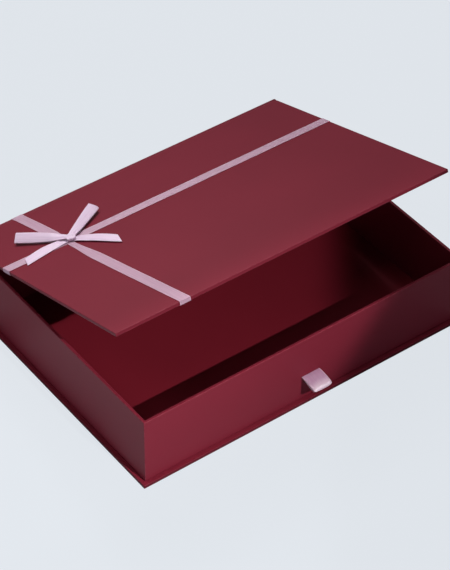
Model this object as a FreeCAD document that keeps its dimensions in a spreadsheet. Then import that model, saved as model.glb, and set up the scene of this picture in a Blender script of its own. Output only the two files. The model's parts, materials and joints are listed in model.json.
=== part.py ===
"""Rigid gift box with a sliding drawer, wrapped in coloured paper and tied with satin ribbon.

A book-style case of three greyboard panels (base, spine and lid) is hinged by its own wrap paper.
An open drawer stands on the base board, inside the case, and slides out to the front by a ribbon
tab. The case leans back from the drawer, half open, with the lid square to the spine.

Millimetres. The origin is the centre of the base's underside. +X runs along the front to the
right, -Y is the front, where the tab is, and +Z is up.
"""

import FreeCAD, Part
import math
import os
import re

import Sketcher
from FreeCAD import Placement, Rotation, Vector

OUTPUT_FOLDER = "parts"

SIZES = {
    # The case: base, spine and lid.
    "case_width": 330.0,
    "case_depth": 244.0,
    "case_board": 2.7,
    "paper": 0.25,
    "lining_card": 0.6,
    "turn_in": 15.0,
    "lining_margin": 7.0,
    "hinge_gap": 1.2,
    "fold_clearance": 0.1,
    "case_edge_radius": 0.4,
    "lean_angle": 17.7,
    # The drawer.
    "lip": 3.6,
    "drawer_height": 64.8,
    "drawer_board": 2.0,
    "stay_paper": 0.15,
    "stay_leg": 12.0,
    "drawer_corner_radius": 0.6,
    "slide_gap": 0.3,
    "lid_gap": 0.3,
    "drawer_back_gap": 0.8,
    "liner_fit": 0.3,
    # Ribbon: a narrow one round the lid and for the bow, a wide one for the pull tab.
    "ribbon": 0.35,
    "ribbon_fit": 0.15,
    "relief_clearance": 0.05,
    "band_width": 10.0,
    "band_tail": 14.0,
    "band_from_back": 78.0,
    "band_from_left_back": 56.4,
    "band_from_left_front": 64.9,
    "band_ramp": 6.0,
    "band_end": 4.0,
    # The pull tab.
    "tab_width": 18.0,
    "tab_from_middle": 3.1,
    "slit_height": 24.0,
    "slit_clearance": 0.3,
    "tab_reach": 15.4,
    "tab_drop": 1.5,
    "tab_tip_radius": 1.6,
    "tab_tail": 12.0,
    # The bow.
    "knot_length": 6.6,
    "knot_width": 6.4,
    "knot_height": 4.6,
    "knot_radius": 1.8,
    "bow_clearance": 0.2,
    "bow_root": 4.0,
    "bow_root_width": 4.2,
    "bow_spread": 13.0,
    "loop_root_height": 3.0,
    "loop_root_rise": 0.7,
    "loop_tip_height": 4.8,
    "loop_tip_radius": 1.9,
    "loop_bulge": 0.8,
    "loop_sag": 0.5,
    "right_loop_reach": 55.5,
    "right_loop_heading": 32.6,
    "right_loop_roll": 22.0,
    "left_loop_reach": 45.0,
    "left_loop_heading": 131.1,
    "left_loop_roll": -22.0,
    "right_tail_reach": 50.5,
    "right_tail_heading": -51.0,
    "right_tail_slant": -6.6,
    "right_tail_end": 2.6,
    "left_tail_reach": 45.3,
    "left_tail_heading": 184.7,
    "left_tail_slant": 5.1,
    "left_tail_end": 0.9,
}

# What fits together is stated once, in terms of the sizes above.
PANEL = "(case_board + 2 * paper)"
COVERED_PANEL = f"({PANEL} + lining_card)"
BOARD_BACK = f"(-{COVERED_PANEL} - hinge_gap)"
DRAWER_BOTTOM = f"({COVERED_PANEL} + slide_gap)"
DRAWER_TOP = f"({DRAWER_BOTTOM} + drawer_height)"
CASE_HEIGHT = f"({DRAWER_TOP} + lid_gap + {COVERED_PANEL})"
SPINE_END = "(paper + fold_clearance)"
DRAWER_HALF = "(case_width / 2 - lip)"
DRAWER_FRONT = "(-case_depth / 2 + lip)"
DRAWER_BACK = f"(case_depth / 2 - {COVERED_PANEL} - drawer_back_gap)"
SKIN = "(paper + stay_paper)"
WALL = f"({SKIN} + drawer_board)"
FLOOR_TOP = f"({DRAWER_BOTTOM} + paper + drawer_board)"
SLIT_LEVEL = f"({DRAWER_BOTTOM} + slit_height)"
SLIT_HALF = "(tab_width / 2 + slit_clearance)"
SLIT_RISE = "(ribbon + slit_clearance / 2)"
RELIEF = "(ribbon + relief_clearance)"
BAND_SLOPE = "((band_from_left_front - band_from_left_back) / case_depth)"
BAND_BACK_X = "(band_from_left_back - case_width / 2)"
BAND_FRONT_X = "(band_from_left_front - case_width / 2)"
BAND_X = f"({BAND_BACK_X} + {BAND_SLOPE} * band_from_back)"
BAND_TOP = "-ribbon"
BAND_UNDER = f"({PANEL} + ribbon)"
BAND_END_TOP = f"({CASE_HEIGHT} - {SPINE_END})"
BAND_END_LOW = f"({BAND_END_TOP} - band_end)"

doc = FreeCAD.newDocument("DrawerGiftBox")
sheet = doc.addObject("Spreadsheet::Sheet", "Sizes")
nodes = []


# --- The sheet and what reads it -----------------------------------------------------------------


def fill_sheet():
    """Writes each size into the sheet, with its name as the cell's alias."""
    for row, (alias, value) in enumerate(SIZES.items(), start=1):
        sheet.set(f"A{row}", alias)
        sheet.set(f"B{row}", str(value))
        sheet.setAlias(f"B{row}", alias)
    doc.recompute()


def scoped(expression):
    """The expression with each size's name pointed at its cell."""
    return re.sub(
        "[a-z][a-z_]*",
        lambda word: f"Sizes.{word[0]}" if word[0] in SIZES else word[0],
        expression,
    )


def number(expression):
    """The expression's value for the sizes in the sheet."""
    return float(sheet.evalExpression(scoped(expression)))


def bind(feature, name, expression):
    """Ties one property of a feature to an expression of sizes."""
    feature.setExpression(name, scoped(expression))


# --- Modelling helpers ---------------------------------------------------------------------------


def new_body(name):
    """A body that becomes one sub-part."""
    body = doc.addObject("PartDesign::Body", name)
    body.Label = name
    nodes.append(body)
    return body


def new_feature(name, shape):
    """A sub-part whose shape is built from curves."""
    feature = doc.addObject("Part::Feature", name)
    feature.Label = name
    feature.Shape = shape
    nodes.append(feature)
    return feature


def outline(body, role, offset, corners):
    """A closed sketch of straight edges, each corner a pair of expressions, on an origin plane."""
    sketch = body.newObject("Sketcher::SketchObject", f"{body.Name}_outline")
    support = next(plane for plane in body.Origin.OriginFeatures if plane.Role == role)
    sketch.AttachmentSupport = [(support, "")]
    sketch.MapMode = "FlatFace"
    bind(sketch, "AttachmentOffset.Base.z", offset)
    points = [Vector(number(across), number(up), 0) for across, up in corners]
    for start, end in zip(points, points[1:] + points[:1]):
        sketch.addGeometry(Part.LineSegment(start, end))
    for index, (across, up) in enumerate(corners):
        following = (index + 1) % len(corners)
        sketch.addConstraint(Sketcher.Constraint("Coincident", index, 2, following, 1))
        for kind, place in (("DistanceX", across), ("DistanceY", up)):
            rule = Sketcher.Constraint(kind, -1, 1, index, 1, number(place))
            bind(sketch, f"Constraints[{sketch.addConstraint(rule)}]", place)
    return sketch


def rectangle(low_across, low_up, high_across, high_up):
    """The four corners of a rectangle."""
    return [
        (low_across, low_up),
        (high_across, low_up),
        (high_across, high_up),
        (low_across, high_up),
    ]


def pad(body, sketch, length):
    """Adds the sketch's area, drawn out along its plane's normal."""
    feature = body.newObject("PartDesign::Pad", f"{body.Name}_pad")
    feature.Profile = sketch
    bind(feature, "Length", length)
    doc.recompute()
    return feature


def pocket(body, sketch, length):
    """Takes the sketch's area away, drawn out along its plane's normal, and checks that it cut."""
    before = body.Shape.Volume
    feature = body.newObject("PartDesign::Pocket", f"{body.Name}_pocket")
    feature.Profile = sketch
    feature.Reversed = True
    bind(feature, "Length", length)
    doc.recompute()
    if not body.Shape.Volume < before:
        raise RuntimeError(f"{body.Label}: a pocket cuts nothing")
    return feature


def fillet(body, radius, wanted):
    """Rounds the edges of the body's last feature that the test picks."""
    last = body.Tip
    names = [
        f"Edge{index}" for index, edge in enumerate(last.Shape.Edges, start=1) if wanted(edge)
    ]
    feature = body.newObject("PartDesign::Fillet", f"{body.Name}_fillet")
    feature.Base = (last, names)
    bind(feature, "Radius", radius)
    doc.recompute()
    return feature


def along(edge, direction):
    """Whether a straight edge runs along a direction."""
    return abs(edge.tangentAt(edge.FirstParameter).dot(direction)) > 0.999


def plate(name, plane, corners, low, thickness):
    """A flat piece: one outline, drawn out from a level."""
    body = new_body(name)
    pad(body, outline(body, plane, low, corners), thickness)
    return body


# --- Where the case's panels stand ---------------------------------------------------------------


def base_place():
    """The base panel's own frame: its origin is the fold at the back, on the underside."""
    return Placement(Vector(0, number("case_depth / 2"), 0), Rotation())


def cover_place():
    """The spine's and lid's frame: the same fold, leaned back."""
    lean = Rotation(Vector(1, 0, 0), -number("lean_angle"))
    return Placement(Vector(0, number("case_depth / 2"), 0), lean)


def lid_panel_place():
    """The lid as a panel: turned over, its outer face up, at the top of the spine."""
    turned = Placement(Vector(0, 0, number(CASE_HEIGHT)), Rotation(Vector(0, 1, 0), 180))
    return cover_place().multiply(turned)


def lid_top_place(heading=0.0):
    """On top of the lid where the bands cross, turned to a heading."""
    centre = Vector(number(BAND_X), number("-band_from_back"), number(CASE_HEIGHT))
    return cover_place().multiply(Placement(centre, Rotation(Vector(0, 0, 1), heading)))


# --- The case ------------------------------------------------------------------------------------


def panel_board(name):
    """Greyboard of the base or the lid, short of the fold by the spine and the hinge gap."""
    half = "(case_width / 2 - paper)"
    corners = rectangle(f"-{half}", "-case_depth + paper", half, BOARD_BACK)
    return plate(name, "XY_Plane", corners, "paper", "case_board")


def panel_wrap(name):
    """Paper over a panel: the outer face, three edges and their turn-ins, and the fold flap."""
    body = new_body(name)
    profile = [
        ("-case_depth", "0"),
        ("0", "0"),
        ("0", "paper"),
        (BOARD_BACK, "paper"),
        (BOARD_BACK, PANEL),
        ("-case_depth", PANEL),
    ]
    pad(body, outline(body, "YZ_Plane", "-case_width / 2", profile), "case_width")
    fillet(body, "case_edge_radius", is_wrapped_edge)
    half = "(case_width / 2 - paper)"
    cavity = rectangle(f"-{half}", "-case_depth + paper", half, BOARD_BACK)
    pocket(body, outline(body, "XY_Plane", "paper", cavity), "case_board")
    half = "(case_width / 2 - turn_in)"
    window = rectangle(f"-{half}", "-case_depth + turn_in", half, BOARD_BACK)
    pocket(body, outline(body, "XY_Plane", "paper + case_board", window), "paper")
    return body


def is_wrapped_edge(edge):
    """Whether an edge of a wrapped panel runs round its front or its sides."""
    middle = edge.CenterOfMass
    at_front = middle.y < number("-case_depth") + number("case_edge_radius")
    at_side = abs(middle.x) > number("case_width / 2 - case_edge_radius")
    return (at_front or at_side) and middle.y < number(BOARD_BACK) - number("case_edge_radius")


def panel_lining(name):
    """Lining card: it fills the window in the turn-ins and lies over their edges."""
    body = new_body(name)
    half = "(case_width / 2 - turn_in - liner_fit)"
    inner = rectangle(f"-{half}", "-case_depth + turn_in + liner_fit", half, BOARD_BACK)
    pad(body, outline(body, "XY_Plane", "paper + case_board", inner), "paper")
    half = "(case_width / 2 - lining_margin)"
    outer = rectangle(f"-{half}", "-case_depth + lining_margin", half, BOARD_BACK)
    pad(body, outline(body, "XY_Plane", PANEL, outer), "lining_card")
    return body


def build_base():
    """The base panel, which the drawer slides on."""
    for piece in (panel_board("base_board"), panel_wrap("base_wrap"), panel_lining("base_lining")):
        piece.Placement = base_place()


def build_lid():
    """The lid panel, with room under its lining for the bands' tails."""
    lining = panel_lining("lid_lining")
    half_band = "(band_width / 2 + ribbon_fit)"
    reach = "(band_tail + ribbon_fit)"
    edge = "(case_width / 2)"
    near_band = f"-band_from_back - {half_band}"
    far_band = f"-band_from_back + {half_band}"
    front_low = f"-{BAND_FRONT_X} - {half_band}"
    front_high = f"-{BAND_FRONT_X} + {half_band} + {reach} * {BAND_SLOPE}"
    reliefs = (
        rectangle(front_low, "-case_depth", front_high, f"-case_depth + {reach}"),
        rectangle(f"-{edge}", near_band, f"-{edge} + {reach}", far_band),
        rectangle(f"{edge} - {reach}", near_band, edge, far_band),
    )
    for relief in reliefs:
        pocket(lining, outline(lining, "XY_Plane", PANEL, relief), RELIEF)
    for piece in (panel_board("lid_board"), panel_wrap("lid_wrap"), lining):
        piece.Placement = lid_panel_place()


def build_spine():
    """The spine panel, its paper turned in at the ends and slit where the short band goes in."""
    low = SPINE_END
    height = f"{CASE_HEIGHT} - 2 * {SPINE_END}"
    half = "(case_width / 2 - paper)"
    board = rectangle(f"-{half}", "-paper - case_board", half, "-paper")
    inside = f"-{PANEL}"
    under = f"-{PANEL} + paper"
    right = [
        ("case_width / 2", "0"),
        ("case_width / 2", inside),
        ("case_width / 2 - turn_in", inside),
        ("case_width / 2 - turn_in", under),
        ("case_width / 2 - paper", under),
        ("case_width / 2 - paper", "-paper"),
    ]
    wrap = mirrored_outline(right)
    step = "case_width / 2 - turn_in - liner_fit"
    lining = mirrored_outline(
        [
            (step, under),
            (step, inside),
            ("case_width / 2 - lining_margin", inside),
            ("case_width / 2 - lining_margin", f"-{COVERED_PANEL}"),
        ]
    )
    pieces = {
        name: plate(name, "XY_Plane", corners, low, height)
        for name, corners in (
            ("spine_board", board),
            ("spine_wrap", wrap),
            ("spine_lining", lining),
        )
    }
    half_band = "(band_width / 2 + ribbon_fit)"
    slit = rectangle(
        f"{BAND_BACK_X} - {half_band}",
        f"{BAND_END_LOW} - ribbon_fit",
        f"{BAND_BACK_X} + {half_band}",
        f"{BAND_END_LOW} + ribbon + ribbon_fit",
    )
    spine_wrap = pieces["spine_wrap"]
    pocket(spine_wrap, outline(spine_wrap, "XZ_Plane", "0", slit), "paper")
    for piece in pieces.values():
        piece.Placement = cover_place()


def mirrored_outline(right):
    """The corners of an outline that is the same on both sides of its middle."""
    left = [(f"-({across})", up) for across, up in reversed(right)]
    return right + left


# --- The drawer ----------------------------------------------------------------------------------


def build_drawer_boards():
    """Floor and four walls of greyboard, the walls standing on the floor."""
    half = f"({DRAWER_HALF} - {SKIN})"
    front = f"({DRAWER_FRONT} + {SKIN})"
    back = f"({DRAWER_BACK} - {SKIN})"
    rise = f"{DRAWER_TOP} - paper - {FLOOR_TOP}"
    floor = rectangle(f"-{half}", front, half, back)
    plate("drawer_floor_board", "XY_Plane", floor, f"{DRAWER_BOTTOM} + paper", "drawer_board")
    left = rectangle(f"-{half}", front, f"-{half} + drawer_board", back)
    plate("drawer_left_board", "XY_Plane", left, FLOOR_TOP, rise)
    right = rectangle(f"{half} - drawer_board", front, half, back)
    plate("drawer_right_board", "XY_Plane", right, FLOOR_TOP, rise)
    inner = f"({half} - drawer_board)"
    rear = rectangle(f"-{inner}", f"{back} - drawer_board", inner, back)
    plate("drawer_back_board", "XY_Plane", rear, FLOOR_TOP, rise)
    facing = rectangle(f"-{inner}", front, inner, f"{front} + drawer_board")
    board = plate("drawer_front_board", "XY_Plane", facing, FLOOR_TOP, rise)
    inner_face = f"-({front} + drawer_board)"
    pocket(board, outline(board, "XZ_Plane", inner_face, slit_corners()), "drawer_board")
    tails = rectangle(
        f"tab_from_middle - {SLIT_HALF}",
        f"{SLIT_LEVEL} - tab_tail - slit_clearance",
        f"tab_from_middle + {SLIT_HALF}",
        f"{SLIT_LEVEL} + tab_tail + slit_clearance",
    )
    pocket(board, outline(board, "XZ_Plane", inner_face, tails), RELIEF)


def slit_corners():
    """The slit that the pull tab passes through, seen from the front."""
    return rectangle(
        f"tab_from_middle - {SLIT_HALF}",
        f"{SLIT_LEVEL} - {SLIT_RISE}",
        f"tab_from_middle + {SLIT_HALF}",
        f"{SLIT_LEVEL} + {SLIT_RISE}",
    )


def build_drawer_wrap():
    """Paper over the drawer: outside, over the rim, down the inside, and turned in below."""
    body = new_body("drawer_wrap")
    outer = rectangle(f"-{DRAWER_HALF}", DRAWER_FRONT, DRAWER_HALF, DRAWER_BACK)
    pad(body, outline(body, "XY_Plane", DRAWER_BOTTOM, outer), "drawer_height")
    fillet(body, "drawer_corner_radius", lambda edge: along(edge, Vector(0, 0, 1)))
    for inset, low, high in (
        (f"({WALL} + paper)", FLOOR_TOP, DRAWER_TOP),
        ("paper", f"({DRAWER_BOTTOM} + paper)", FLOOR_TOP),
        ("turn_in", DRAWER_BOTTOM, f"({DRAWER_BOTTOM} + paper)"),
    ):
        half = f"({DRAWER_HALF} - {inset})"
        area = rectangle(f"-{half}", f"{DRAWER_FRONT} + {inset}", half, f"{DRAWER_BACK} - {inset}")
        pocket(body, outline(body, "XY_Plane", low, area), f"{high} - {low}")
    hollow_walls(body)
    wall_sheet = outline(body, "XZ_Plane", f"-({DRAWER_FRONT} + paper)", slit_corners())
    pocket(body, wall_sheet, "paper")


def hollow_walls(body):
    """Opens the space between the drawer's outer and inner paper, which the boards fill."""
    outer = f"({DRAWER_HALF} - paper)"
    inner = f"({DRAWER_HALF} - {WALL})"
    front = f"({DRAWER_FRONT} + paper)"
    back = f"({DRAWER_BACK} - paper)"
    inner_front = f"({DRAWER_FRONT} + {WALL})"
    inner_back = f"({DRAWER_BACK} - {WALL})"
    for area in (
        rectangle(f"-{outer}", front, f"-{inner}", back),
        rectangle(inner, front, outer, back),
        rectangle(f"-{inner}", front, inner, inner_front),
        rectangle(f"-{inner}", inner_back, inner, back),
    ):
        sketch = outline(body, "XY_Plane", FLOOR_TOP, area)
        pocket(body, sketch, f"{DRAWER_TOP} - paper - {FLOOR_TOP}")


def build_drawer_liner():
    """The card that covers the drawer's floor."""
    inset = f"({WALL} + paper + liner_fit)"
    half = f"({DRAWER_HALF} - {inset})"
    area = rectangle(f"-{half}", f"{DRAWER_FRONT} + {inset}", half, f"{DRAWER_BACK} - {inset}")
    plate("drawer_floor_lining", "XY_Plane", area, FLOOR_TOP, "lining_card")


def build_corner_stays():
    """Paper tape folded round each corner of the drawer's boards, under the wrap."""
    for end, edge_y, inward in (("front", DRAWER_FRONT, 1), ("back", DRAWER_BACK, -1)):
        for side, sign in (("left", -1), ("right", 1)):
            outer_x = f"{sign} * ({DRAWER_HALF} - paper)"
            inner_x = f"{sign} * ({DRAWER_HALF} - {SKIN})"
            leg_x = f"{sign} * ({DRAWER_HALF} - paper - stay_leg)"
            outer_y = f"{edge_y} + {inward} * paper"
            inner_y = f"{edge_y} + {inward} * {SKIN}"
            leg_y = f"{edge_y} + {inward} * (paper + stay_leg)"
            corners = [
                (outer_x, outer_y),
                (leg_x, outer_y),
                (leg_x, inner_y),
                (inner_x, inner_y),
                (inner_x, leg_y),
                (outer_x, leg_y),
            ]
            plate(f"corner_stay_{end}_{side}", "XY_Plane", corners,
                  f"{DRAWER_BOTTOM} + paper", "drawer_height - 2 * paper")


# --- Ribbon --------------------------------------------------------------------------------------


def build_long_band():
    """The band along the lid, round its left and right edges and glued under the lining."""
    half = "(case_width / 2)"
    long_band = [
        (f"{half} + ribbon", BAND_TOP),
        (f"{half} + ribbon", BAND_UNDER),
        (f"{half} - band_tail", BAND_UNDER),
        (f"{half} - band_tail", PANEL),
        (half, PANEL),
        (half, "0"),
    ]
    body = new_body("long_band")
    sketch = outline(body, "XZ_Plane", "band_from_back - band_width / 2",
                     mirrored_outline(long_band))
    pad(body, sketch, "band_width")
    body.Placement = lid_panel_place()


def build_short_band():
    """The band across the lid, over the long band, a little askew and round the front edge."""
    hump = "(band_width / 2 + ribbon_fit)"
    ramp = "(band_width / 2 + ribbon_fit + band_ramp)"
    front = "-case_depth"
    back = "-fold_clearance"
    crossing = "-band_from_back"
    short_band = [
        (f"{front} - ribbon", BAND_TOP),
        (f"{crossing} - {ramp}", BAND_TOP),
        (f"{crossing} - {hump}", "-2 * ribbon"),
        (f"{crossing} + {hump}", "-2 * ribbon"),
        (f"{crossing} + {ramp}", BAND_TOP),
        (back, BAND_TOP),
        (back, "0"),
        (f"{crossing} + {ramp}", "0"),
        (f"{crossing} + {hump}", "-ribbon"),
        (f"{crossing} - {hump}", "-ribbon"),
        (f"{crossing} - {ramp}", "0"),
        (front, "0"),
        (front, PANEL),
        (f"{front} + band_tail", PANEL),
        (f"{front} + band_tail", BAND_UNDER),
        (f"{front} - ribbon", BAND_UNDER),
    ]
    body = new_body("short_band")
    near = "(-case_depth - band_ramp)"
    far = "band_ramp"
    low = f"(-{BAND_BACK_X} + {BAND_SLOPE} * {near} - band_width / 2)"
    high = f"(-{BAND_BACK_X} + {BAND_SLOPE} * {far} + band_width / 2)"
    pad(body, outline(body, "YZ_Plane", low, short_band), f"{high} - {low}")
    above = "-3 * ribbon"
    for wedge in (
        [(low, near), (f"{high} - band_width", far), (low, far)],
        [(f"{low} + band_width", near), (high, near), (high, far)],
    ):
        pocket(body, outline(body, "XY_Plane", above, wedge), f"{BAND_UNDER} - ({above}) + ribbon")
    body.Placement = lid_panel_place()


def build_band_end():
    """The short band's other end, over the fold and through a slit in the spine's paper."""
    profile = [
        ("0", BAND_END_TOP),
        ("ribbon", BAND_END_TOP),
        ("ribbon", BAND_END_LOW),
        ("-paper", BAND_END_LOW),
        ("-paper", f"{BAND_END_LOW} + ribbon"),
        ("0", f"{BAND_END_LOW} + ribbon"),
    ]
    side = f"{BAND_BACK_X} - band_width / 2"
    plate("band_end", "YZ_Plane", profile, side, "band_width").Placement = cover_place()


def loop_wire(root, root_rise, tip, tip_radius, crest, sag):
    """The side view of a ribbon loop: two bowed sides that meet in a round tip."""
    upper_root = root + Vector(0, 0, root_rise)
    lower_root = root - Vector(0, 0, root_rise)
    upper_tip = tip + Vector(0, 0, tip_radius)
    lower_tip = tip - Vector(0, 0, tip_radius)
    nose = tip + (tip - root).normalize() * tip_radius
    upper_middle = (upper_root + upper_tip) * 0.5 + Vector(0, 0, crest)
    lower_middle = (lower_root + lower_tip) * 0.5 - Vector(0, 0, sag)
    return Part.Wire(
        [
            Part.Arc(upper_root, upper_middle, upper_tip).toShape(),
            Part.Arc(upper_tip, nose, lower_tip).toShape(),
            Part.Arc(lower_tip, lower_middle, lower_root).toShape(),
            Part.LineSegment(lower_root, upper_root).toShape(),
        ]
    )


def ribbon_loop(root, root_rise, tip, tip_radius, crest, sag, width):
    """A loop of ribbon with its hollow, drawn out to the ribbon's width about its middle."""
    ribbon = number("ribbon")
    inward = (tip - root).normalize() * ribbon
    outer = Part.Face(loop_wire(root, root_rise, tip, tip_radius, crest, sag))
    inner = Part.Face(
        loop_wire(root + inward, root_rise / 2, tip, tip_radius - ribbon, crest, sag)
    )
    across = outer.normalAt(0, 0) * width
    ring = outer.cut(inner).extrude(across)
    ring.translate(across * -0.5)
    return ring


def build_pull_tab():
    """The ribbon loop that pulls the drawer, through the slit and glued behind the front board."""
    ribbon = number("ribbon")
    level = number(SLIT_LEVEL)
    face = number(DRAWER_FRONT)
    width = number("tab_width")
    middle = number("tab_from_middle")
    root = Vector(middle, face, level)
    tip = root + Vector(0, -number("tab_reach"), -number("tab_drop"))
    loop = ribbon_loop(root, ribbon, tip, number("tab_tip_radius"), ribbon, ribbon, width)
    back = number(f"{DRAWER_FRONT} + {WALL}")
    left = middle - width / 2
    neck = Part.makeBox(width, back - face, 2 * ribbon, Vector(left, face, level - ribbon))
    tail = number("tab_tail")
    tails = Part.makeBox(width, ribbon, 2 * tail, Vector(left, back - ribbon, level - tail))
    new_feature("pull_tab", loop.multiFuse([neck, tails]).removeSplitter())


def plan_prism(right_reach, left_reach):
    """The bow ribbon's plan, narrow at the knot, full width beyond, its end square or slanted."""
    root = number("bow_root")
    narrow = number("bow_root_width / 2")
    wide = number("band_width / 2")
    spread = number("bow_spread")
    floor = -number(CASE_HEIGHT)
    corners = [
        Vector(root, -narrow, floor),
        Vector(spread, -wide, floor),
        Vector(right_reach, -wide, floor),
        Vector(left_reach, wide, floor),
        Vector(spread, wide, floor),
        Vector(root, narrow, floor),
    ]
    plan = Part.Face(Part.makePolygon(corners + corners[:1]))
    return plan.extrude(Vector(0, 0, -2 * floor))


def bow_loop(side):
    """One loop of the bow, from the knot to its round end, turned a little about its length."""
    reach = number(f"{side}_loop_reach")
    radius = number("loop_tip_radius")
    root = Vector(number("bow_root"), 0, number("loop_root_height"))
    tip = Vector(reach - radius, 0, number("loop_tip_height"))
    loop = ribbon_loop(
        root,
        number("loop_root_rise"),
        tip,
        radius,
        number("loop_bulge"),
        number("loop_sag"),
        number("2 * band_width"),
    )
    shape = loop.common(plan_prism(reach, reach))
    shape.rotate(root, tip - root, number(f"{side}_loop_roll"))
    place = lid_top_place(number(f"{side}_loop_heading"))
    new_feature(f"bow_loop_{side}", shape).Placement = place


def bow_tail(side):
    """One tail of the bow, a strip from under the knot, its end cut on a slant."""
    ribbon = number("ribbon")
    start = number("2 * ribbon + bow_clearance")
    end = number(f"{side}_tail_end")
    reach = number(f"{side}_tail_reach")
    slant = number(f"{side}_tail_slant")
    root = number("bow_root")
    side_view = Part.Face(
        Part.makePolygon(
            [
                Vector(root, 0, start),
                Vector(reach, 0, end),
                Vector(reach, 0, end + ribbon),
                Vector(root, 0, start + ribbon),
                Vector(root, 0, start),
            ]
        )
    )
    width = number("band_width")
    strip = side_view.extrude(Vector(0, 2 * width, 0))
    strip.translate(Vector(0, -width, 0))
    shape = strip.common(plan_prism(reach - max(slant, 0), reach + min(slant, 0)))
    place = lid_top_place(number(f"{side}_tail_heading"))
    new_feature(f"bow_tail_{side}", shape).Placement = place


def build_bow():
    """Two loops, two tails and the knot that holds them where the bands cross."""
    for side in ("right", "left"):
        bow_loop(side)
        bow_tail(side)
    knot = new_body("bow_knot")
    area = rectangle("-knot_length / 2", "-knot_width / 2", "knot_length / 2", "knot_width / 2")
    pad(knot, outline(knot, "XY_Plane", "2 * ribbon", area), "knot_height")
    lowest = number("2 * ribbon")
    fillet(knot, "knot_radius", lambda edge: edge.BoundBox.ZMax > lowest + number("ribbon"))
    knot.Placement = lid_top_place()


# --- Checks and files ----------------------------------------------------------------------------


def check_document():
    """Stops if any feature failed or any sub-part has no sound shape."""
    for item in doc.Objects:
        if "Invalid" in item.State or "Error" in item.State:
            raise RuntimeError(f"{item.Label}: {item.State}")
    for node in nodes:
        if node.Shape.isNull() or not node.Shape.isValid():
            raise RuntimeError(f"{node.Label}: its shape isn't sound")


def export_nodes():
    """Writes each sub-part to its own file."""
    os.makedirs(OUTPUT_FOLDER, exist_ok=True)
    for node in nodes:
        node.Shape.exportStep(os.path.join(OUTPUT_FOLDER, f"{node.Label}.step"))


def main():
    """Builds the box and writes its sub-parts."""
    fill_sheet()
    build_base()
    build_spine()
    build_lid()
    build_drawer_boards()
    build_drawer_wrap()
    build_drawer_liner()
    build_corner_stays()
    build_long_band()
    build_short_band()
    build_band_end()
    build_pull_tab()
    build_bow()
    doc.recompute()
    check_document()
    export_nodes()
    for node in nodes:
        box = node.Shape.BoundBox
        print(f"{node.Label}: {len(node.Shape.Solids)} solid, {node.Shape.Volume:.0f} mm3,",
              f"{box.XLength:.1f} x {box.YLength:.1f} x {box.ZLength:.1f}")


main()
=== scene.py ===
"""Dresses the drawer gift box: wrap paper, folds, linings, satin ribbon, and a plain studio.

Metres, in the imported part's frame: +X runs along the front to the right, -Y is the front, +Z is up.
The lid and the spine are modelled square, in a frame of their own at a fold, and are then placed.
"""

from __future__ import annotations

import json
import logging
import math
from dataclasses import dataclass, field
from enum import Enum
from typing import Callable, Sequence

import bmesh
import bpy
from mathutils import Matrix, Vector
from mathutils.geometry import interpolate_bezier
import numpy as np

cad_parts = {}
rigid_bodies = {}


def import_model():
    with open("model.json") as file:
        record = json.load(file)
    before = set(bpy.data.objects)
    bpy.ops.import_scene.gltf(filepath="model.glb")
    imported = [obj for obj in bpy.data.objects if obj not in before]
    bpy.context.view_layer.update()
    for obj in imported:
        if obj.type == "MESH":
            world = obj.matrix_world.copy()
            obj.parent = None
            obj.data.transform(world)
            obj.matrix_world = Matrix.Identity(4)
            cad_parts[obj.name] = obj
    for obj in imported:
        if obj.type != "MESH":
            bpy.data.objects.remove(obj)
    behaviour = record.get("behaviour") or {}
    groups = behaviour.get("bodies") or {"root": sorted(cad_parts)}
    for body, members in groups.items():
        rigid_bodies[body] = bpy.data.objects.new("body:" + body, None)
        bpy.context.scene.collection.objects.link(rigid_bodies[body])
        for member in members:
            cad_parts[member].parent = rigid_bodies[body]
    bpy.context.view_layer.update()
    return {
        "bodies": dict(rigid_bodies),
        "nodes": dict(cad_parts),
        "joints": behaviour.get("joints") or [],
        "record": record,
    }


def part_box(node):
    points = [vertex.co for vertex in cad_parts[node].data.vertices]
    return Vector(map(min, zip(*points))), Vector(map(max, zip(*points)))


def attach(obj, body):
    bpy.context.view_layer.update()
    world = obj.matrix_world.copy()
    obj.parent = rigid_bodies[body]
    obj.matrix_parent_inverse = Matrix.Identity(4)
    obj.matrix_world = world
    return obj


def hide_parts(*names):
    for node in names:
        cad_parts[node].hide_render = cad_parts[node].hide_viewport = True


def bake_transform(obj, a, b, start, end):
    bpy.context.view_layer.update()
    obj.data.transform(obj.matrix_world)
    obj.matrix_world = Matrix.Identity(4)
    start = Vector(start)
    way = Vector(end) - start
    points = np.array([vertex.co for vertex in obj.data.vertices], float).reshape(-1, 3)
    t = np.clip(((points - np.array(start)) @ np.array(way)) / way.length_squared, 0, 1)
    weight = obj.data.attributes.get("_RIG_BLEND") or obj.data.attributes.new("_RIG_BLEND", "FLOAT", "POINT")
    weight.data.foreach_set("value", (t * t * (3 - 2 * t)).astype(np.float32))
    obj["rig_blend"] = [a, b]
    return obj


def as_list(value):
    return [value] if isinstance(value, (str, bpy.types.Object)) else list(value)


LOG = logging.getLogger("gift_box")
MM = 0.001
TINY = 1e-5

Colour = tuple[float, float, float]
Point = tuple[float, float, float]
Span = tuple[float, float]
Material = bpy.types.Material
Piece = bpy.types.Object
Socket = bpy.types.NodeSocket
Mesh = bmesh.types.BMesh
Edges = Sequence[bmesh.types.BMEdge]
Place = Callable[[float, float], Vector]
EdgeTest = Callable[[Vector, Vector], bool]

# Noise keeps near the middle of 0 to 1, so what it mixes runs over one of these spans.
WIDE: Span = (0.3, 0.7)
NARROW: Span = (0.35, 0.65)
# A wave texture turns through this many radians in a metre at scale 1.
WAVE_RADIANS = 20

BEVEL_SEGMENTS = 4
FLAT_FACE_WEIGHT = 100
# A rounded corner's points, and how far its curve's handles reach towards the corner.
CORNER_POINTS = 7
CORNER_HANDLE = 0.6


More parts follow.
